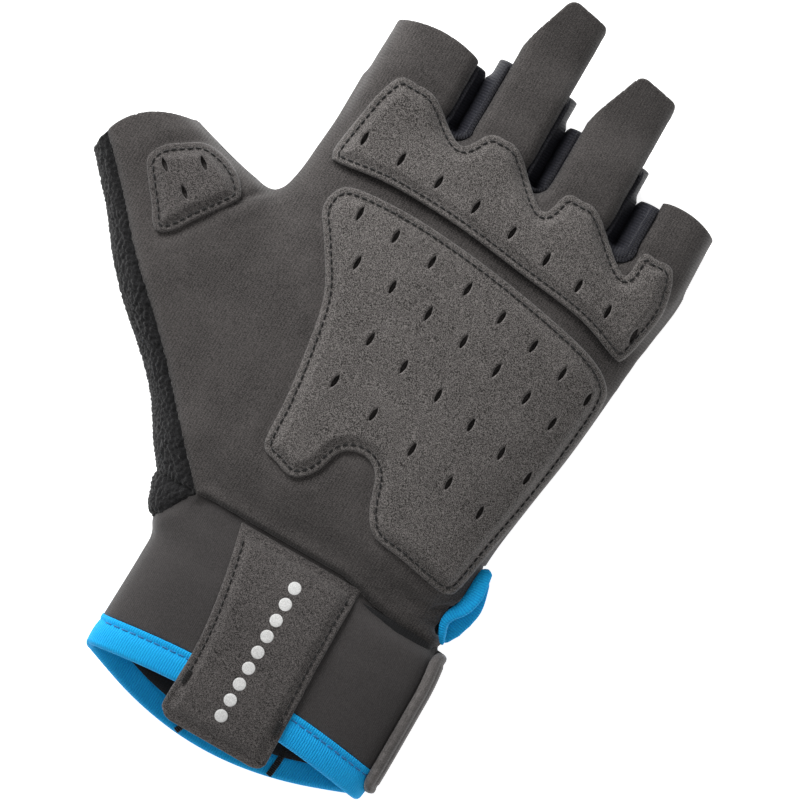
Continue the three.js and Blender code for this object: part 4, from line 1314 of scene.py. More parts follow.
@dataclass
class HandShell:
    """The sewn fabric: palm, back, terry, gussets and wrist band, cut from one skin."""

    pattern: Pattern
    form: Form
    cell: float = 0.75
    seam_depth: float = 0.5
    seam_width: float = 0.8
    puff: float = 0.22
    seam_clear: float = 0.1
    palm_fall: float = 1.5
    band_fall: float = 2.3
    tongue_twist: float = 0.33
    valley: float = 1.9
    bulge: float = 2.2
    lip: float = 0.55
    lip_inset: float = 0.35
    lip_level: float = -0.1
    pile: float = 0.9
    tuft: float = 1.15
    lowest: float = 0.05
    pleats: list[Fold] = field(default_factory=palm_pleats)

    def skin(self) -> Sheet:
        """The whole outer surface of the glove, moved onto the field's 0 in three steps."""
        p = self.pattern
        low = (-116.0, p.wrist_seam - p.band_length - 20.0, -1.5)
        high = (p.palm_width / 2 + 8, 118.0, 34.5)
        sheet = surface_net(self.form.distance, low, high, self.cell)
        for _ in range(3):
            slope = self.form.slope(sheet.points)
            size = np.maximum((slope**2).sum(axis=1), 0.05)
            sheet.points -= slope * (self.form.distance(sheet.points) / size)[:, None]
        return sheet

    def in_gussets(self, points: Array) -> Array:
        """Signed distance to the gussets' region, negative inside it."""
        p = self.pattern
        plan = points[:, :2]
        sides = [outline_distance(plan, p.gusset(web)) for web in p.webs]
        return np.maximum(np.min(sides, axis=0), p.gusset_seam_height - points[:, 2])

    def seam_lines(self, points: Array) -> Array:
        """Distance of each point from the nearest seam."""
        p = self.pattern
        plan, z = points[:, :2], points[:, 2]
        side = np.abs(z - p.seam_height)
        terry = outline_distance(plan, p.terry())
        side = np.where((terry < 0) | (plan[:, 1] > p.web_at(plan[:, 0])), 9.0, side)
        wrist = path_distance(plan, p.wrist_seam_line())
        return np.minimum.reduce([side, np.abs(terry), wrist, np.abs(self.in_gussets(points))])

    def pad_edges(self, points: Array) -> Array:
        """Signed distance from the main, upper and thumb pad on the palm side, and far away elsewhere."""
        p = self.pattern
        outlines = (p.main_pad(), p.upper_pad(), p.thumb_pad())
        away = np.stack([outline_distance(points[:, :2], outline) for outline in outlines])
        return np.where(points[:, 2] > p.seam_height, away, 20.0)

    def under_pad_painted_shadow(self, points: Array) -> Array:
        """A painted shadow line on the palm along the upper pad's lower edge, for the seam mask."""
        each = np.maximum(self.pad_edges(points), 0.0)
        return 2.4 * bump(each[1], 1.2) * bump(each[0], 7.5)

    def relief(self, points: Array) -> Array:
        """How far the fabric lies in from the plain form: seams, pleats and the dips beside the pads."""
        p = self.pattern
        seam = self.seam_lines(points)
        depth = self.seam_depth * bump(seam, self.seam_width) - self.puff * bump(seam - 2.8, 1.5)
        each = self.pad_edges(points)
        pads = each.min(axis=0)
        depth += 0.3 * bump(pads - 0.6, 1.2) - 0.15 * bump(pads - 4.0, 1.8)
        depth += self.valley * bump(np.maximum(each[0], 0.0), 5.0) * bump(np.maximum(each[1], 0.0), 5.0)
        plan = points[:, :2]
        upper = smooth_step(p.seam_height - 2, p.seam_height + 4, points[:, 2])
        folds = sum(fold.lift(plan) for fold in self.pleats)
        return depth + upper * (self.wrist_fold(points) + folds)

    def wrist_fold(self, points: Array) -> Array:
        """How far the fabric lies in beside the wrist seam: the palm falls to it, the band starts lower."""
        above = self.band_top(points)
        palm = self.palm_fall * smooth_step(17.0, 2.5, above) - 0.5 * bump(above - 1.3, 1.3)
        off_terry = smooth_step(0.0, 4.0, outline_distance(points[:, :2], self.pattern.terry()))
        return off_terry * np.where(above > 0, palm, self.band_fall * bump(above, 3.2))

    def twist(self, points: Array) -> Array:
        """How far the pull tongues turn down towards the little finger."""
        p = self.pattern
        depth = np.zeros(len(points))
        for f in p.fingers:
            if f.tongue:
                beside = np.maximum(points[:, 0] - f.left - 0.2 * f.width, 0.0)
                mine = (points[:, 0] < f.right + 1.0) & (points[:, 0] > f.left - 1.0)
                past = smooth_step(p.hem_of(f) - 4.0, p.hem_of(f) + 11.0, points[:, 1])
                depth += np.where(mine, self.tongue_twist * beside * past, 0.0)
        return depth * smooth_step(p.seam_height - 2, p.seam_height + 4, points[:, 2])

    def slot_bulge(self, points: Array) -> Array:
        """How far a gusset bulges into its slot: most at half height, and nothing at the hems."""
        p = self.pattern
        rise = np.zeros(len(points))
        for i, web in enumerate(p.webs):
            hem = min(p.hem_of(p.fingers[i]), p.hem_of(p.fingers[i + 1]))
            near = bump(points[:, 0] - web, 2.6) * (1 - smooth_step(-3.0, 1.5, points[:, 1] - hem))
            rise += near * smooth_step(p.web_at(web) - 2.0, p.web_at(web) + 3.0, points[:, 1])
        return self.bulge * rise * bump(points[:, 2] - 11.0, 5.5)

    def cut(self, skin: Sheet, *regions: Field) -> Sheet:
        """The part of the skin inside every region, each a field that is negative inside."""
        for region in regions:
            skin = skin.clipped(region(skin.points))
        return skin

    def within(self, points: Array, outline: Array) -> Array:
        """Field of what lies inside an outline in plan, half a seam's gap away from it."""
        return outline_distance(points[:, :2], outline) + self.seam_clear / 2

    def without(self, points: Array, outline: Array) -> Array:
        """Field of what lies outside an outline in plan, half a seam's gap away from it."""
        return self.seam_clear / 2 - outline_distance(points[:, :2], outline)

    def off_gussets(self, points: Array) -> Array:
        """Field of what lies outside the gussets."""
        return self.seam_clear / 2 - self.in_gussets(points)

    def off_vent(self, points: Array) -> Array:
        """Field of what the side vent leaves."""
        open_part = outline_distance(points[:, :2], self.pattern.vent_cut())
        return -np.maximum(open_part, self.pattern.vent_low - points[:, 2])

    def upper_half(self, points: Array) -> Array:
        """Field of what lies above the side seam."""
        return self.pattern.seam_height + self.seam_clear / 2 - points[:, 2]

    def lower_half(self, points: Array) -> Array:
        """Field of what lies below the side seam."""
        return points[:, 2] - self.pattern.seam_height + self.seam_clear / 2

    def above_binding(self, points: Array) -> Array:
        """Field of what lies above the cuff's binding."""
        return self.pattern.binding_top_at(points[:, 0]) + 0.2 - points[:, 1]

    def one_gusset(self, points: Array, web: float) -> Array:
        """Field of the gusset over one web."""
        plan = outline_distance(points[:, :2], self.pattern.gusset(web))
        return np.maximum(plan, self.pattern.gusset_seam_height - points[:, 2]) + self.seam_clear / 2

    def below_hems(self, points: Array, web: float, hems: tuple[float, float]) -> Array:
        """Field of what lies below the hems of the two stalls beside a web."""
        return points[:, 1] - np.where(points[:, 0] < web, hems[0], hems[1])

    def panel(self, name: str, sheet: Sheet, pile: float = 0.0) -> bpy.types.Object:
        """A finished panel: relief, fabric thickness, rounded edges and the seam mask of painted shade for
        its material.

        Args:
            name: the piece's name.
            sheet: its part of the skin.
            pile: height of loops that roughen it.

        Returns:
            The object.
        """
        normals = self.form.slope(sheet.points)
        normals /= np.linalg.norm(normals, axis=1, keepdims=True)
        # seam mask: painted shade in the seam grooves, plus the painted shadow line under the upper pad's
        # edge
        seam = bump(self.seam_lines(sheet.points), 1.0) + self.under_pad_painted_shadow(sheet.points)
        shift = self.slot_bulge(sheet.points) - self.relief(sheet.points)
        moved = sheet.points + normals * shift[:, None]
        for web in self.pattern.webs:
            across = np.abs(sheet.points[:, 0] - web)
            slot = (across < 4) & (sheet.points[:, 1] > self.pattern.web_at(web) + 1) & (across > 0.3)
            side = np.where(sheet.points[:, 0] < web, -1.0, 1.0)
            away = np.maximum(side * (moved[:, 0] - web), 0.0)
            moved[:, 0] = np.where(slot, web + side * away, moved[:, 0])
        moved[:, 2] -= self.twist(sheet.points)
        if pile:
            moved = moved + normals * (pile * (tufts(sheet.points, self.tuft) - 0.5))[:, None]
        body = walled(Sheet(moved, sheet.triangles), normals, self.pattern.wall)
        body.points[:, 2] = np.maximum(body.points[:, 2], self.lowest)
        piece = make_object(name, body.points, body.triangles)
        add_value(piece, "seam", np.concatenate([seam, np.zeros(len(body.points) - len(seam))]))
        return piece

    def build(self, wardrobe: Wardrobe) -> list[bpy.types.Object]:
        """Cuts and dresses every panel.

        Args:
            wardrobe: the finishes.

        Returns:
            The panels.
        """
        p, skin = self.pattern, self.skin()
        off_terry = partial(self.without, outline=p.terry())
        hem = partial(self.without, outline=p.beyond_thumb())
        cuts = {
            "palm_panel": (self.upper_half, partial(self.within, outline=p.palm_side()), off_terry),
            "back_panel": (self.lower_half, partial(self.within, outline=p.back_side()), off_terry),
            "thumb_back_panel": (partial(self.within, outline=p.terry()), hem),
            "wrist_band": (self.band_top, off_terry, self.above_binding),
        }
        for name in ("palm_panel", "back_panel"):
            cuts[name] += (self.off_gussets, self.off_vent, hem)
        looks = {
            "palm_panel": ("palm", Slot.PALM),
            "back_panel": ("back", Slot.BACK),
            "thumb_back_panel": ("terry", Slot.TERRY),
            "wrist_band": ("band", Slot.WRIST),
        }
        for i, web in enumerate(p.webs):
            name = f"gusset_{p.fingers[i].name}_{p.fingers[i + 1].name}"
            hems = (p.hem_of(p.fingers[i]), p.hem_of(p.fingers[i + 1]))
            cuts[name] = (partial(self.one_gusset, web=web), partial(self.below_hems, web=web, hems=hems))
            looks[name] = ("gusset", Slot.GUSSET)
        pieces = []
        for name, regions in cuts.items():
            sheet = self.cut(skin, *regions)
            pile = self.pile if name == "thumb_back_panel" else 0.0
            piece = self.panel(name + "_fabric", sheet.split() if pile else sheet, pile)
            wardrobe.dress(piece, *looks[name])
            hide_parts(name)
            pieces.append(piece)
        return pieces + self.lips(wardrobe)

    def lips(self, wardrobe: Wardrobe) -> list[bpy.types.Object]:
        """The rolled edge of each gusset, a thin tube that follows its seam round the slot.

        Args:
            wardrobe: the finishes.

        Returns:
            One lip for each gusset.
        """
        p, lips = self.pattern, []
        for i, web in enumerate(p.webs):
            path = p.gusset(web)
            hems = np.where(path[:, 0] < web, p.hem_of(p.fingers[i]), p.hem_of(p.fingers[i + 1]))
            path[:, 1] = np.minimum(path[:, 1], hems - 0.3)
            path = resampled(np.vstack([path[-1:], path[:-1]]), 0.8, False)
            inside = np.where(path[:, 1] > p.web_at(web) + 2, np.sign(web - path[:, 0]), 0.0)
            path[:, 0] += self.lip_inset * inside
            centres = np.column_stack([path, self.form.top_at(path, self.lip_level)])
            name = f"gusset_{p.fingers[i].name}_{p.fingers[i + 1].name}_lip"
            piece = swept_tape(name, centres, np.full(2, self.lip), 0.8 * self.lip, np.zeros(2))
            wardrobe.dress(piece, "gusset_lip", Slot.GUSSET)
            lips.append(piece)
        return lips

    def band_top(self, points: Array) -> Array:
        """Signed distance to the wrist band's upper seam, negative on the band."""
        line = self.pattern.wrist_seam_line()
        return points[:, 1] - np.interp(points[:, 0], line[:, 0], line[:, 1]) + self.seam_clear / 2


def tufts(points: Array, pitch: float) -> Array:
    """Round tufts of terry: one minus the distance to the nearest of jittered lattice points, in pitches.

    Args:
        points: places in space.
        pitch: mean distance between tufts.

    Returns:
        A height from 0 to 1 for each point.
    """
    cell = np.floor(points / pitch)
    least = np.full(len(points), 9.0)
    for shift in np.stack(np.meshgrid(*[(-1, 0, 1)] * 3), axis=-1).reshape(-1, 3):
        corner = cell + shift
        mix = [[12.9898, 78.233, 37.719], [39.346, 11.135, 83.155], [73.156, 52.235, 9.151]]
        seed = corner @ np.array(mix)
        jitter = np.abs(np.sin(seed) * 43758.5453) % 1.0
        least = np.minimum(least, np.linalg.norm(points / pitch - corner - jitter, axis=1))
    return np.clip(1.0 - least, 0.0, 1.0)


def capsules(starts: Array, ends: Array, radius: float, sides: int = 6) -> tuple[Array, Array]:
    """Many short closed threads as one mesh: four rings each, the outer two narrow, with pointed ends.

    Args:
        starts: one end of each thread.
        ends: the other end.
        radius: the threads' radius.
        sides: corners of a ring.

    Returns:
        The points and the triangles.
    """
    axis = ends - starts
    length = np.linalg.norm(axis, axis=1, keepdims=True)
    along = axis / length
    helper = np.where(np.abs(along[:, 2:3]) > 0.9, [[1.0, 0, 0]], [[0, 0, 1.0]])
    u = np.cross(along, helper)
    u /= np.linalg.norm(u, axis=1, keepdims=True)
    v = np.cross(along, u)
    turn = 2 * math.pi * np.arange(sides) / sides
    wide = np.array([0.0, 0.62, 1.0, 1.0, 0.62, 0.0])
    far = np.array([-1.0, -0.75, 0.1, -0.1, 0.75, 1.0])
    rings = []
    for k in range(1, 5):
        base = (starts if k < 3 else ends) + along * far[k] * radius
        ring = np.cos(turn)[None, :, None] * u[:, None] + np.sin(turn)[None, :, None] * v[:, None]
        rings.append(base[:, None] + ring * radius * wide[k])
    tips = np.stack([starts - along * radius, ends + along * radius], axis=1)
    points = np.concatenate([np.concatenate(rings, axis=1), tips], axis=1)
    per = points.shape[1]
    j = np.arange(sides)
    j1 = (j + 1) % sides
    faces = []
    for k in range(3):
        a, b, c, d = k * sides + j, k * sides + j1, (k + 1) * sides + j1, (k + 1) * sides + j
        faces += [np.column_stack([a, b, c]), np.column_stack([a, c, d])]
    faces.append(np.column_stack([np.full(sides, 4 * sides), j1, j]))
    faces.append(np.column_stack([np.full(sides, 4 * sides + 1), 3 * sides + j, 3 * sides + j1]))
    one = np.concatenate(faces)
    every = one[None] + per * np.arange(len(points))[:, None, None]
    return points.reshape(-1, 3), every.reshape(-1, 3)


def spaced(path: Array, pitch: float) -> tuple[Array, Array]:
    """Places at even steps along a path in plan, and the direction of the path at each."""
    closed = bool(np.linalg.norm(path[0] - path[-1]) < pitch)
    centres = resampled(path, pitch, closed)
    ahead = np.roll(centres, -1, axis=0) - np.roll(centres, 1, axis=0)
    if not closed:
        ahead[0], ahead[-1] = centres[1] - centres[0], centres[-1] - centres[-2]
    return centres, ahead / np.linalg.norm(ahead, axis=1, keepdims=True)


def swept_tape(
    name: str, centres: Array, half_width: Array, half_height: float, tilt: Array
) -> bpy.types.Object:
    """A tape swept along a path, its section a flattened ellipse turned by the tilt.

    Args:
        name: the piece's name.
        centres: the path in space.
        half_width: half the tape's width along it.
        half_height: half its thickness.
        tilt: turn of the section about the path, at each point.

    Returns:
        The object, closed at both ends.
    """
    path = resampled(centres, 0.35, False)
    lean = np.interp(np.linspace(0, 1, len(path)), np.linspace(0, 1, len(tilt)), tilt)
    ahead = np.gradient(path, axis=0)
    ahead /= np.linalg.norm(ahead, axis=1, keepdims=True)
    out = np.cross(ahead, [0.0, 0.0, 1.0])
    out /= np.linalg.norm(out, axis=1, keepdims=True)
    up = np.cross(out, ahead)
    side = np.cos(lean)[:, None] * out + np.sin(lean)[:, None] * up
    high = np.cos(lean)[:, None] * up - np.sin(lean)[:, None] * out
    sides = 32
    turn = 2 * math.pi * np.arange(sides) / sides
    c, s = np.cos(turn), np.sin(turn)
    wide = np.sign(c) * np.abs(c) ** 0.8
    broad = np.interp(np.linspace(0, 1, len(path)), np.linspace(0, 1, len(half_width)), half_width)
    tall = half_height * np.sign(s) * np.abs(s) ** 0.7
    share = np.linspace(0, 1, len(path))
    close = np.sqrt(np.clip(np.minimum(share, 1 - share) / 0.04, 0.0, 1.0))[:, None, None]
    close[0], close[-1] = 0.0, 0.0
    ring = broad[:, None, None] * wide[None, :, None] * side[:, None] + tall[None, :, None] * high[:, None]
    grid = path[:, None] + ring * np.maximum(close, 0.02)
    run = along_path(path, False)[0]
    girth = np.concatenate([[0.0], np.cumsum(np.hypot(half_width.max() * np.diff(wide), np.diff(tall)))])
    uv = np.stack(np.broadcast_arrays(run[:, None], girth[None]), axis=-1).reshape(-1, 2)
    return make_object(name, grid.reshape(-1, 3), capped_faces(len(path), sides), uv)


def inset_path(outline: Array, inset: float, spacing: float) -> Array:
    """A closed path inside an outline, at even steps.

    Each point moves square to its neighbours' direction, towards the side where the outline's distance falls.
    """
    ring = resampled(outline, spacing, True)
    for _ in range(3):
        h = 0.05
        at = outline_distance(ring, outline)
        gx = outline_distance(ring + [h, 0], outline) - at
        gy = outline_distance(ring + [0, h], outline) - at
        slope = np.column_stack([gx, gy]) / h
        size = np.maximum((slope**2).sum(axis=1), 0.2)
        ring = ring - slope * ((at + inset) / size)[:, None]
    return resampled(ring, spacing, True)


@dataclass
class Pads:
    """The perforated suede pads and the pull tab, with their stitching."""

    pattern: Pattern
    form: Form
    pitch: float = 0.42
    edge_round: float = 0.7
    thin_rim: float = 0.42
    swell: float = 2.8
    groove: float = 0.08
    stitch_inset: float = 1.7
    stitch_pitch: float = 2.1
    stitch_length: float = 0.95
    thread: float = 0.31
    slit_reach: float = 4.5
    slit_open: float = 1.25
    tuck: float = 3.2
    lock_run: float = 3.5
    lock_pitch: float = 0.62
    lock_length: float = 0.9
    lock_thread: float = 0.36

    def level(self, outer: Array, slit: Array, rim: Array | float, base: float, thickness: float) -> Array:
        """Height of a pad's top over the form.

        The rim is flat up to the stitches with a small round edge. Inside them the padding swells. The
        stitches lie in a groove, and a slit's lips roll in.

        Args:
            outer: distance inside the outline.
            slit: distance outside the nearest slit.
            rim: the rim's share of the thickness.
            base: level of the pad's underside.
            thickness: the pad's thickness.

        Returns:
            The level at each point.
        """
        share = np.clip(outer / self.edge_round, 0.0, 1.0)
        rise = rim * thickness * (0.3 + 0.7 * np.sqrt(1 - (1 - share) ** 2))
        swollen = smooth_step(self.stitch_inset, self.stitch_inset + self.swell, outer)
        rise = rise + (1 - rim) * thickness * swollen
        groove = self.groove * bump(outer - self.stitch_inset, 0.45)
        lip = np.clip(slit / 0.45, 0.0, 1.0)
        rolled = 0.35 * (1 - np.sqrt(1 - (1 - lip) ** 2)) - 0.1 * bump(slit - 0.8, 0.5)
        return base + rise - groove - rolled

    def tucked(self, plan: Array) -> Array:
        """How far a piece sinks to pass under the palm's edge at the wrist seam."""
        line = self.pattern.wrist_seam_line()
        below = plan[:, 1] - np.interp(plan[:, 0], line[:, 0], line[:, 1])
        return self.tuck * smooth_step(-5.5, 0.2, below)

    def rim_at(self, plan: Array, outline: Array) -> Array:
        """Share of the thickness that a pad's rim keeps: thin, but thick beside the valley between pads."""
        both = (self.pattern.main_pad(), self.pattern.upper_pad())
        others = [o for o in both if not np.array_equal(o, outline)]
        away = np.min([np.maximum(outline_distance(plan, other), 0.0) for other in others], axis=0)
        return self.thin_rim + (0.85 - self.thin_rim) * bump(away, 5.5)

    def pad(self, name: str, outline: Array, slits: Array, base: float, thickness: float) -> bpy.types.Object:
        """One pad as a closed body.

        Args:
            name: the piece's name.
            outline: its outline in plan.
            slits: middle and turn of each slit.
            base: level of its underside over the form.
            thickness: its thickness.

        Returns:
            The object.
        """
        p = self.pattern
        sheet = lattice(outline.min(axis=0) - 0.5, outline.max(axis=0) + 0.5, self.pitch)
        sheet = sheet.clipped(outline_distance(sheet.points[:, :2], outline))
        if len(slits):
            sheet = sheet.clipped(-self.slit_distance(sheet.points[:, :2], slits), 0.02)
        plan = sheet.points[:, :2]
        outer = np.maximum(-outline_distance(plan, outline), 0.0)
        slit = self.slit_distance(plan, slits) if len(slits) else np.full(len(plan), 9.0)
        slit = np.maximum(slit, 0.0)
        rim = self.rim_at(plan, outline)
        sunk = self.tucked(plan) if base > p.seam_gap else np.zeros(len(plan))
        level = self.level(outer, slit, rim, base, thickness) - sunk
        top = np.column_stack([plan, self.form.top_at(plan, level)])
        under = np.column_stack([plan, self.form.top_at(plan, base - sunk)])
        body = Sheet(top, sheet.triangles).closed_with(under)
        piece = make_object(name, body.points, body.triangles)
        # edge: pale rubbing along the outline, and a painted highlight round each slit's lip
        edge = np.maximum(0.25 * bump(outer, 0.5), bump(slit, 0.3))
        # seam: painted shade in the stitch groove, and full painted shade on the pad's underside and walls
        seam = 0.2 * bump(outer - self.stitch_inset, 0.45)
        add_value(piece, "edge", np.concatenate([edge, np.zeros(len(edge))]))
        add_value(piece, "seam", np.concatenate([seam, np.ones(len(seam))]))
        return piece

    def slit_distance(self, plan: Array, slits: Array) -> Array:
        """Distance outside the nearest slit, negative inside it.

        A slit is a lens: its half width falls from the middle to the two points with the square of the way.
        """
        half, wide = self.slit_reach / 2, self.slit_open / 2
        least = np.full(len(plan), 20.0)
        for x, y, turn in slits:
            near = np.flatnonzero(np.abs(plan - [x, y]).max(axis=1) < 2 * half)
            away = plan[near] - [x, y]
            along = away @ [math.cos(turn), math.sin(turn)]
            across = np.abs(away @ [-math.sin(turn), math.cos(turn)])
            inside = across - wide * (1 - (along / half) ** 2)
            past = np.hypot(across, np.maximum(np.abs(along) - half, 0.0))
            least[near] = np.minimum(least[near], np.where(np.abs(along) < half, inside, past))
        return least

    def stitches(
        self, name: str, path: Array, outline: Array, base: float, thickness: float
    ) -> bpy.types.Object:
        """A row of stitches that lies in a pad's groove.

        Args:
            name: the piece's name.
            path: the row's path in plan.
            outline: the pad's outline.
            base: level of the pad's underside over the form.
            thickness: the pad's thickness.

        Returns:
            The object.
        """
        centres, ahead = spaced(path, self.stitch_pitch)
        level = base + self.rim_at(centres, outline) * thickness - self.groove + 0.15
        return self.sewn(name, centres, ahead, level, self.stitch_length, self.thread)

    def sewn(
        self, name: str, centres: Array, ahead: Array, level: Array, length: float, radius: float
    ) -> bpy.types.Object:
        """Stitches over places in plan, each along its direction there.

        Args:
            name: the piece's name.
            centres: the stitches' middles in plan.
            ahead: the direction of each.
            level: how far over the form each lies.
            length: their length.
            radius: the thread's radius.

        Returns:
            The object.
        """
        ends = []
        for side in (-0.5, 0.5):
            plan = centres + side * length * ahead
            ends.append(np.column_stack([plan, self.form.top_at(plan, level)]))
        return make_object(name, *capsules(ends[0], ends[1], radius))

    def build(self, wardrobe: Wardrobe) -> list[bpy.types.Object]:
        """Makes the three pads and the tab with their stitches.

        Args:
            wardrobe: the finishes.

        Returns:
            The pieces.
        """
        p = self.pattern
        thumb = p.thumb_at([(0, 0.655), (0.36, 0.585), (0.09, 0.46)])
        thumb_slits = np.column_stack([thumb, np.full(3, p.thumb_angle)])
        upper = [SlitRow(9, -0.415, 0.547, 0.439, 0.452, 0.028)]
        main = [SlitRow(8, -0.328, 0.371, 0.418, 0.246, 0.024), SlitRow(7, -0.271, 0.254, 0.37, 0.145, 0.018)]
        main.append(SlitRow(6, -0.143, 0.098, 0.385, -0.012, 0.008))
        main.append(SlitRow(5, -0.168, -0.042, 0.323, -0.151, 0.003))
        rows = {
            "main_palm_pad": (p.main_pad(), p.slits(main)),
            "upper_palm_pad": (p.upper_pad(), p.slits(upper)),
            "thumb_pad": (p.thumb_pad(), thumb_slits),
        }
        pieces = []
        for name, (outline, slits) in rows.items():
            piece = self.pad(name + "_suede", outline, slits, p.seam_gap, p.pad_thickness)
            wardrobe.dress(piece, "dark_suede" if name == "thumb_pad" else "suede", Slot.SUEDE)
            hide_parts(name)
            path = inset_path(outline, self.stitch_inset, 0.6)
            seam = self.stitches(name + "_stitches", path, outline, p.seam_gap, p.pad_thickness)
            wardrobe.dress(seam, "thread", Slot.SUEDE)
            pieces += [piece, seam]
        return pieces + self.tab(wardrobe)

    def tab(self, wardrobe: Wardrobe) -> list[bpy.types.Object]:
        """The pull tab, its two rows of stitches and its plain white dots.

        Args:
            wardrobe: the finishes.

        Returns:
            The pieces.
        """
        p = self.pattern
        outline = p.tab()
        piece = self.pad("pull_tab_suede", outline, np.empty((0, 3)), p.over_binding, p.tab_thickness)
        wardrobe.dress(piece, "dark_suede", Slot.SUEDE)
        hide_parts("pull_tab")
        half = len(outline) // 2
        pieces = [piece]
        for name, side, inset in (("left", outline[:half], 1.9), ("right", outline[half:], -1.9)):
            path = side + [inset, 0.0]
            path = path[(path[:, 1] < p.wrist_seam - 3) & (path[:, 1] > p.wrist_seam - p.band_length)]
            path = path[np.argsort(-path[:, 1])]
            seam = self.stitches(f"pull_tab_stitches_{name}", path, outline, p.over_binding, p.tab_thickness)
            fine = resampled(path, 0.4, False)
            run, length = along_path(fine, False)
            lock, ahead = spaced(fine[run > length - self.lock_run], self.lock_pitch)
            square = np.column_stack([-ahead[:, 1], ahead[:, 0]])
            level = np.full(len(lock), p.over_binding + 0.7 * p.tab_thickness)
            tack = (lock, square, level, self.lock_length, self.lock_thread)
            bartack = self.sewn(f"pull_tab_bartack_{name}", *tack)
            for thread in (seam, bartack):
                wardrobe.dress(thread, "thread", Slot.SUEDE)
            pieces += [seam, bartack]
        dots = self.dots()
        wardrobe.dress(dots, "dots", Slot.SUEDE)
        return [*pieces, dots]

    def dots(
        self, count: int = 9, radius: float = 1.75, first: float = -56.5, last: float = -95.0
    ) -> bpy.types.Object:
        """A row of plain printed dots down the middle of the tab, each a thin domed disc.

        Args:
            count: how many dots.
            radius: a dot's radius.
            first: where the row starts along Y.
            last: where it ends.

        Returns:
            The dots as one object.
        """
        p = self.pattern
        sides, rings = 28, np.array([0.03, 0.4, 0.75, 0.93, 1.0, 1.0, 0.03])
        under = np.array([0, 0, 0, 0, 0, 1, 1])
        turn = 2 * math.pi * np.arange(sides) / sides
        y = np.linspace(first, last, count)
        x = np.full(count, 0.8)
        unit = np.stack([np.cos(turn), np.sin(turn)], axis=-1)
        plan = np.stack([x, y], axis=-1)[:, None, None] + radius * rings[:, None, None] * unit[None, None]
        flat = plan.reshape(-1, 2)
        height = np.where(under, -0.2, 0.1 * (1 - rings**6) + 0.02)
        rise = np.tile(np.repeat(height, sides), count)
        top = self.form.top_at(flat, p.over_binding + p.tab_thickness + rise)
        points = np.column_stack([flat, top])
        faces = capped_faces(len(rings), sides)
        every = faces[None] + len(rings) * sides * np.arange(count)[:, None, None]
        return make_object("pull_tab_dots", points, every.reshape(-1, 4))


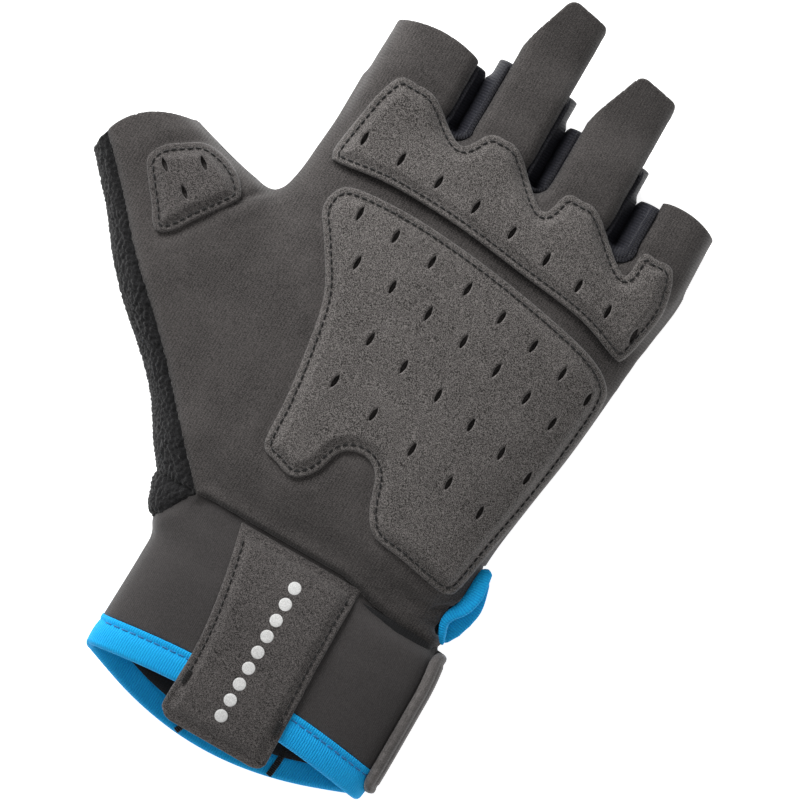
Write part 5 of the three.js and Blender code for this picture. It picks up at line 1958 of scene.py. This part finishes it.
@dataclass
class Cuff:
    """The blue binding round the cuff's hem, the lining behind it and the closure strap."""

    pattern: Pattern
    form: Form
    steps: int = 480
    stitch_inset: float = 1.8

    def hem_at(self, x: Array, z: Array) -> Array:
        """Station of the hem: the palm-side line above the side seam and the back line below it."""
        share = smooth_step(9.0, 15.0, z)
        return self.pattern.back_hem_at(x) * (1 - share) + self.pattern.palm_hem_at(x) * share

    def binding(self) -> bpy.types.Object:
        """The folded tape: its profile carried round the cuff.

        The profile starts at the outer top edge, runs down the outer face, rolls round the hem, climbs the
        inner face, and closes through the band. Stations are millimetres above the hem.
        """
        p = self.pattern
        turn = 2 * math.pi * np.arange(self.steps) / self.steps
        body = self.form.body
        start = body.ring(np.full(self.steps, p.wrist_seam - p.band_length - 3.0), turn, 0.0)
        x, z = start[:, 0], start[:, 2]
        hem = self.hem_at(x, z)
        share = smooth_step(9.0, 15.0, z)
        top = p.binding_top_at(x) - hem
        inner_top = (7.0 + 1.8 * np.minimum((x / 25.0) ** 2, 1.0)) * (1 - share) + p.binding_height * share
        proud, deep = p.binding_proud, -p.wall - p.binding_proud
        roll = (proud - deep) / 2
        profile: list[tuple[Array, float]] = []
        outer = [(0.0, 0.05), (0.05, 0.42), (0.3, proud), (1.1, 0.5), (1.55, 0.3), (1.8, 0.18), (2.05, 0.3)]
        profile += [(top - above, grow) for above, grow in outer]
        for t in np.linspace(0.25, 1.0, 9):
            profile.append(((top - 2.5) * (1 - t) + roll * t, proud - 0.02 + 0.1 * math.sin(math.pi * t)))
        for angle in np.linspace(20, 160, 8):
            a = math.radians(angle)
            profile.append((np.full(self.steps, roll * (1 - math.sin(a))), proud - roll + roll * math.cos(a)))
        for t in np.linspace(0.0, 1.0, 8):
            profile.append((roll * (1 - t) + (inner_top - 2.3) * t, deep))
        inner = [(2.05, 0.2), (1.8, 0.3), (1.5, 0.2), (0.4, 0.0), (0.0, 0.3)]
        profile += [(inner_top - above, deep + grow) for above, grow in inner]
        profile += [(inner_top, -1.3), (top * 0.5 + inner_top * 0.5, -1.2), (top - 0.1, -1.0)]
        rings = [body.ring(hem + above, turn, grow) for above, grow in profile]
        grid = np.stack(rings)
        run = np.concatenate([[0.0], np.cumsum(np.linalg.norm(np.diff(grid[8], axis=0), axis=1))])
        down = np.concatenate([[0.0], np.cumsum(np.linalg.norm(np.diff(grid[:, 120], axis=0), axis=1))])
        u, v = np.broadcast_to(run, grid.shape[:2]), np.broadcast_to(down[:, None], grid.shape[:2])
        faces = grid_faces(len(rings), self.steps, wrap_rows=True, wrap_columns=True)
        uv = np.stack([u, v], axis=-1).reshape(-1, 2)
        return make_object("cuff_binding_tape", grid.reshape(-1, 3), faces[:, ::-1], uv)

    def lining(self) -> bpy.types.Object:
        """The dark lining inside the wrist: a thin sleeve whose lower edge shows past the tape."""
        p = self.pattern
        turn = 2 * math.pi * np.arange(self.steps) / self.steps
        body = self.form.body
        start = body.ring(np.full(self.steps, p.wrist_seam - p.band_length - 3.0), turn, 0.0)
        hem = self.hem_at(start[:, 0], start[:, 2])
        share = smooth_step(9.0, 15.0, start[:, 2])
        low = hem + 6.4 * (1 - share) + (p.binding_height - 0.6) * share
        down = np.linspace(0.0, 1.0, 24)
        rim, inside, outside = -2.05, -2.35, -1.85
        layers = [(0.0, rim), *((along, inside) for along in down)]
        layers += [(along, outside) for along in down[::-1]]
        rings = []
        for along, grow in layers:
            station = low * (1 - along) + (p.wrist_seam - 1.0) * along
            rings.append(body.ring(station, turn, grow))
        grid = np.stack(rings)
        faces = grid_faces(len(rings), self.steps, wrap_rows=True, wrap_columns=True)
        return make_object("wrist_lining", grid.reshape(-1, 3), faces[:, ::-1])

    def strap(self) -> bpy.types.Object:
        """The closure strap: a slab round the little-finger side and under the back, with rounded edges."""
        p = self.pattern
        body = self.form.body
        count = 230
        turn = np.linspace(0.9, -math.pi, 4000)
        ring = body.ring(np.full(4000, p.wrist_seam - p.band_length / 2), turn, p.over_binding)
        start = np.argmax(ring[:, 2] < p.strap_top)
        stop = np.argmax((ring[:, 0] < p.wrist_width / 2 - p.strap_reach) & (ring[:, 2] < p.seam_height))
        run, length = along_path(ring[start:stop], False)
        stops = length * (0.5 - 0.5 * np.cos(np.linspace(0.0, math.pi, count)))
        angle = np.interp(stops, run[: stop - start], turn[start:stop])
        top = p.wrist_seam - p.strap_inset - 0.035 * p.band_length
        low = p.wrist_seam - p.band_length - 1.0
        rows = 50
        across = 0.5 - 0.5 * np.cos(np.linspace(0.0, math.pi, rows))
        corner = 4.0
        edge = np.minimum(stops, length - stops)
        cut = corner - np.sqrt(np.maximum(corner**2 - np.maximum(corner - edge, 0.0) ** 2, 0.0))
        station = (low + cut)[None] * (1 - across[:, None]) + (top - cut)[None] * across[:, None]
        near = np.minimum(np.minimum(station - low, top - station), np.broadcast_to(edge, station.shape))
        share = np.clip(near / 0.9, 0.0, 1.0)
        rise = p.strap_thickness * (0.35 + 0.65 * np.sqrt(1 - (1 - share) ** 2)) - 0.3 * bump(near - 2.4, 0.5)
        turns = np.broadcast_to(angle, station.shape)
        places = (station.ravel(), turns.ravel())
        outer = body.ring(*places, p.over_binding + rise.ravel()).reshape(rows, count, 3)
        inner = body.ring(*places, p.over_binding).reshape(rows, count, 3)
        points, faces = slab(outer, inner)
        piece = make_object("closure_strap_band", points, faces[:, ::-1])
        value = np.concatenate([bump(near, 0.9).ravel(), np.zeros(near.size)])
        add_value(piece, "edge", value)
        return piece

    def stitches(self) -> bpy.types.Object:
        """Blue stitches along the tape's upper edge on the palm side."""
        p = self.pattern
        x = np.arange(-37.0, 42.0, 2.3)
        ends = []
        for side in (-0.65, 0.65):
            plan = np.column_stack([x + side, p.binding_top_at(x + side) - self.stitch_inset])
            ends.append(np.column_stack([plan, self.form.top_at(plan, 0.28)]))
        return make_object("cuff_binding_stitches", *capsules(ends[0], ends[1], 0.24))

    def bartacks(self) -> bpy.types.Object:
        """Two short rows of heavy crosswise stitches on the inside of the back's tape."""
        p = self.pattern
        starts, ends = [], []
        left = [(-6.3, -101.8), (-6.8, -103.8), (-7.6, -105.6)]
        right = [(20, -96), (20.1, -99), (19.6, -103.6)]
        height = p.wrist_lift + p.wall + p.binding_proud + 0.15
        for path in (left, right):
            centres, ahead = spaced(np.array(path, dtype=float), 0.55)
            square = np.column_stack([-ahead[:, 1], ahead[:, 0]])
            for rows, side in ((starts, -0.6), (ends, 0.6)):
                plan = centres + side * square
                rows.append(np.column_stack([plan, np.full(len(plan), height)]))
        return make_object("cuff_bartacks", *capsules(np.vstack(starts), np.vstack(ends), 0.32))

    def build(self, wardrobe: Wardrobe) -> list[bpy.types.Object]:
        """Makes and dresses the cuff's pieces.

        Args:
            wardrobe: the finishes.

        Returns:
            The pieces.
        """
        tape, strap, lining, seam = self.binding(), self.strap(), self.lining(), self.stitches()
        bartacks = self.bartacks()
        wardrobe.dress(tape, "binding", Slot.BINDING)
        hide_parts("cuff_binding")
        wardrobe.dress(strap, "strap", Slot.STRAP)
        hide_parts("closure_strap")
        wardrobe.dress(lining, "lining", Slot.WRIST)
        wardrobe.dress(seam, "blue_thread", Slot.BINDING)
        wardrobe.dress(bartacks, "thread", Slot.BINDING)
        return [tape, strap, lining, seam, bartacks]


@dataclass
class Vent:
    """The side vent's two bindings."""

    pattern: Pattern
    form: Form

    def build(self, wardrobe: Wardrobe) -> list[bpy.types.Object]:
        """Makes and dresses both bindings.

        Args:
            wardrobe: the finishes.

        Returns:
            The pieces.
        """
        p = self.pattern
        edge = 0.62 * p.palm_thickness
        front = [(42.5, -27, edge - 1.4), (42.6, -31, edge - 0.2), (42.7, -35, edge + 0.5)]
        front += [(41.9, -39, edge + 1), (40.0, -42.3, edge + 0.8), (39.5, -45, edge)]
        front += [(40.5, -47.8, edge - 1.5), (42, -50.3, edge - 4)]
        low = p.vent_low + p.seam_gap + p.vent_binding_thickness / 2
        rear = [(43.6, -30, low + 2), (44.3, -35, low + 1), (44.2, -38.5, low), (43.1, -42.3, low)]
        rear += [(42.4, -46, low), (41.8, -50, low)]
        rows = (
            ("vent_binding_palm", front, (1.5, 2.1, 2.4, 2.2, 1.7, 1.2, 1.0, 0.5), -0.35),
            ("vent_binding_back", rear, (1.2, 1.8, 2.5, 3.0, 2.5, 0.8), 0.15),
        )
        pieces = []
        for name, path, widths, tilt in rows:
            centres = curved_rows(np.array(path), 8)
            half = p.vent_binding_thickness / 2
            piece = swept_tape(name + "_tape", centres, np.array(widths), half, np.full(2, tilt))
            wardrobe.dress(piece, "binding", Slot.BINDING)
            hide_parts(name)
            pieces.append(piece)
        return pieces


@dataclass
class Studio:
    """The pale floor, the soft light and the camera over the glove."""

    view_width: float = 210.5
    distance: float = 1.6
    height: float = 20.0
    turn: float = 30.0

    def build(self) -> None:
        """Sets the camera, the lights and the floor."""
        scene = bpy.context.scene
        scene.view_settings.view_transform = "Standard"
        self.camera(scene)
        self.lights(scene)
        self.floor(scene)

    def camera(self, scene: bpy.types.Scene) -> None:
        """A long lens straight above the glove, turned as the photograph is."""
        data = bpy.data.cameras.new("camera")
        data.sensor_width = 36.0
        data.lens = 36.0 * (self.distance - self.height * MM) / (self.view_width * MM)
        camera = bpy.data.objects.new("camera", data)
        scene.collection.objects.link(camera)
        camera.location = (0.0, 0.0, self.distance)
        camera.rotation_euler = (0.0, 0.0, math.radians(self.turn))
        scene.camera = camera

    def lights(self, scene: bpy.types.Scene) -> None:
        """A large soft key from the upper left, a weaker fill and an even pale surround."""
        rows = (
            ("key", (-0.64, 0.48, 0.52), 0.55, 10.9),
            ("top", (0.0, 0.0, 1.75), 0.8, 3.0),
            ("fill", (0.8, -0.9, 0.9), 1.2, 2.5),
        )
        for name, place, size, power in rows:
            data = bpy.data.lights.new(name, "AREA")
            data.size = size
            data.energy = power
            light = bpy.data.objects.new(name, data)
            light.location = place
            light.rotation_euler = (-Vector(place)).to_track_quat("-Z", "Y").to_euler()
            scene.collection.objects.link(light)
        world = bpy.data.worlds.new("surround")
        world.use_nodes = True
        world.node_tree.nodes["Background"].inputs["Color"].default_value = (1.0, 1.0, 1.0, 1.0)
        world.node_tree.nodes["Background"].inputs["Strength"].default_value = 0.22
        scene.world = world

    def floor(self, scene: bpy.types.Scene) -> None:
        """A plain white floor, lit a little from within so that the shadows stay faint."""
        corners = 2e3 * np.array([[-1, -1, 0], [1, -1, 0], [1, 1, 0], [-1, 1, 0.0]])
        floor = make_object("floor", corners, np.array([[0, 1, 2, 3]]))
        material = bpy.data.materials.new("floor")
        material.use_nodes = True
        shader = material.node_tree.nodes["Principled BSDF"]
        shader.inputs["Base Color"].default_value = (0.9, 0.9, 0.9, 1.0)
        shader.inputs["Roughness"].default_value = 0.8
        shader.inputs["Emission Color"].default_value = (1.0, 1.0, 1.0, 1.0)
        shader.inputs["Emission Strength"].default_value = 0.82
        floor.data.materials.append(material)


def note_sizes() -> None:
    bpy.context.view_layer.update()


def main() -> None:
    """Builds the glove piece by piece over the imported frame."""
    logging.basicConfig(level=logging.INFO, format="%(message)s")
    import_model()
    Studio().build()
    pattern = Pattern()
    form = Form(pattern)
    wardrobe = Wardrobe()
    for part in (HandShell(pattern, form), Pads(pattern, form), Cuff(pattern, form), Vent(pattern, form)):
        for piece in part.build(wardrobe):
            LOG.info("%s: %d faces", piece.name, len(piece.data.polygons))
    note_sizes()


if __name__ == "__main__":
    main()
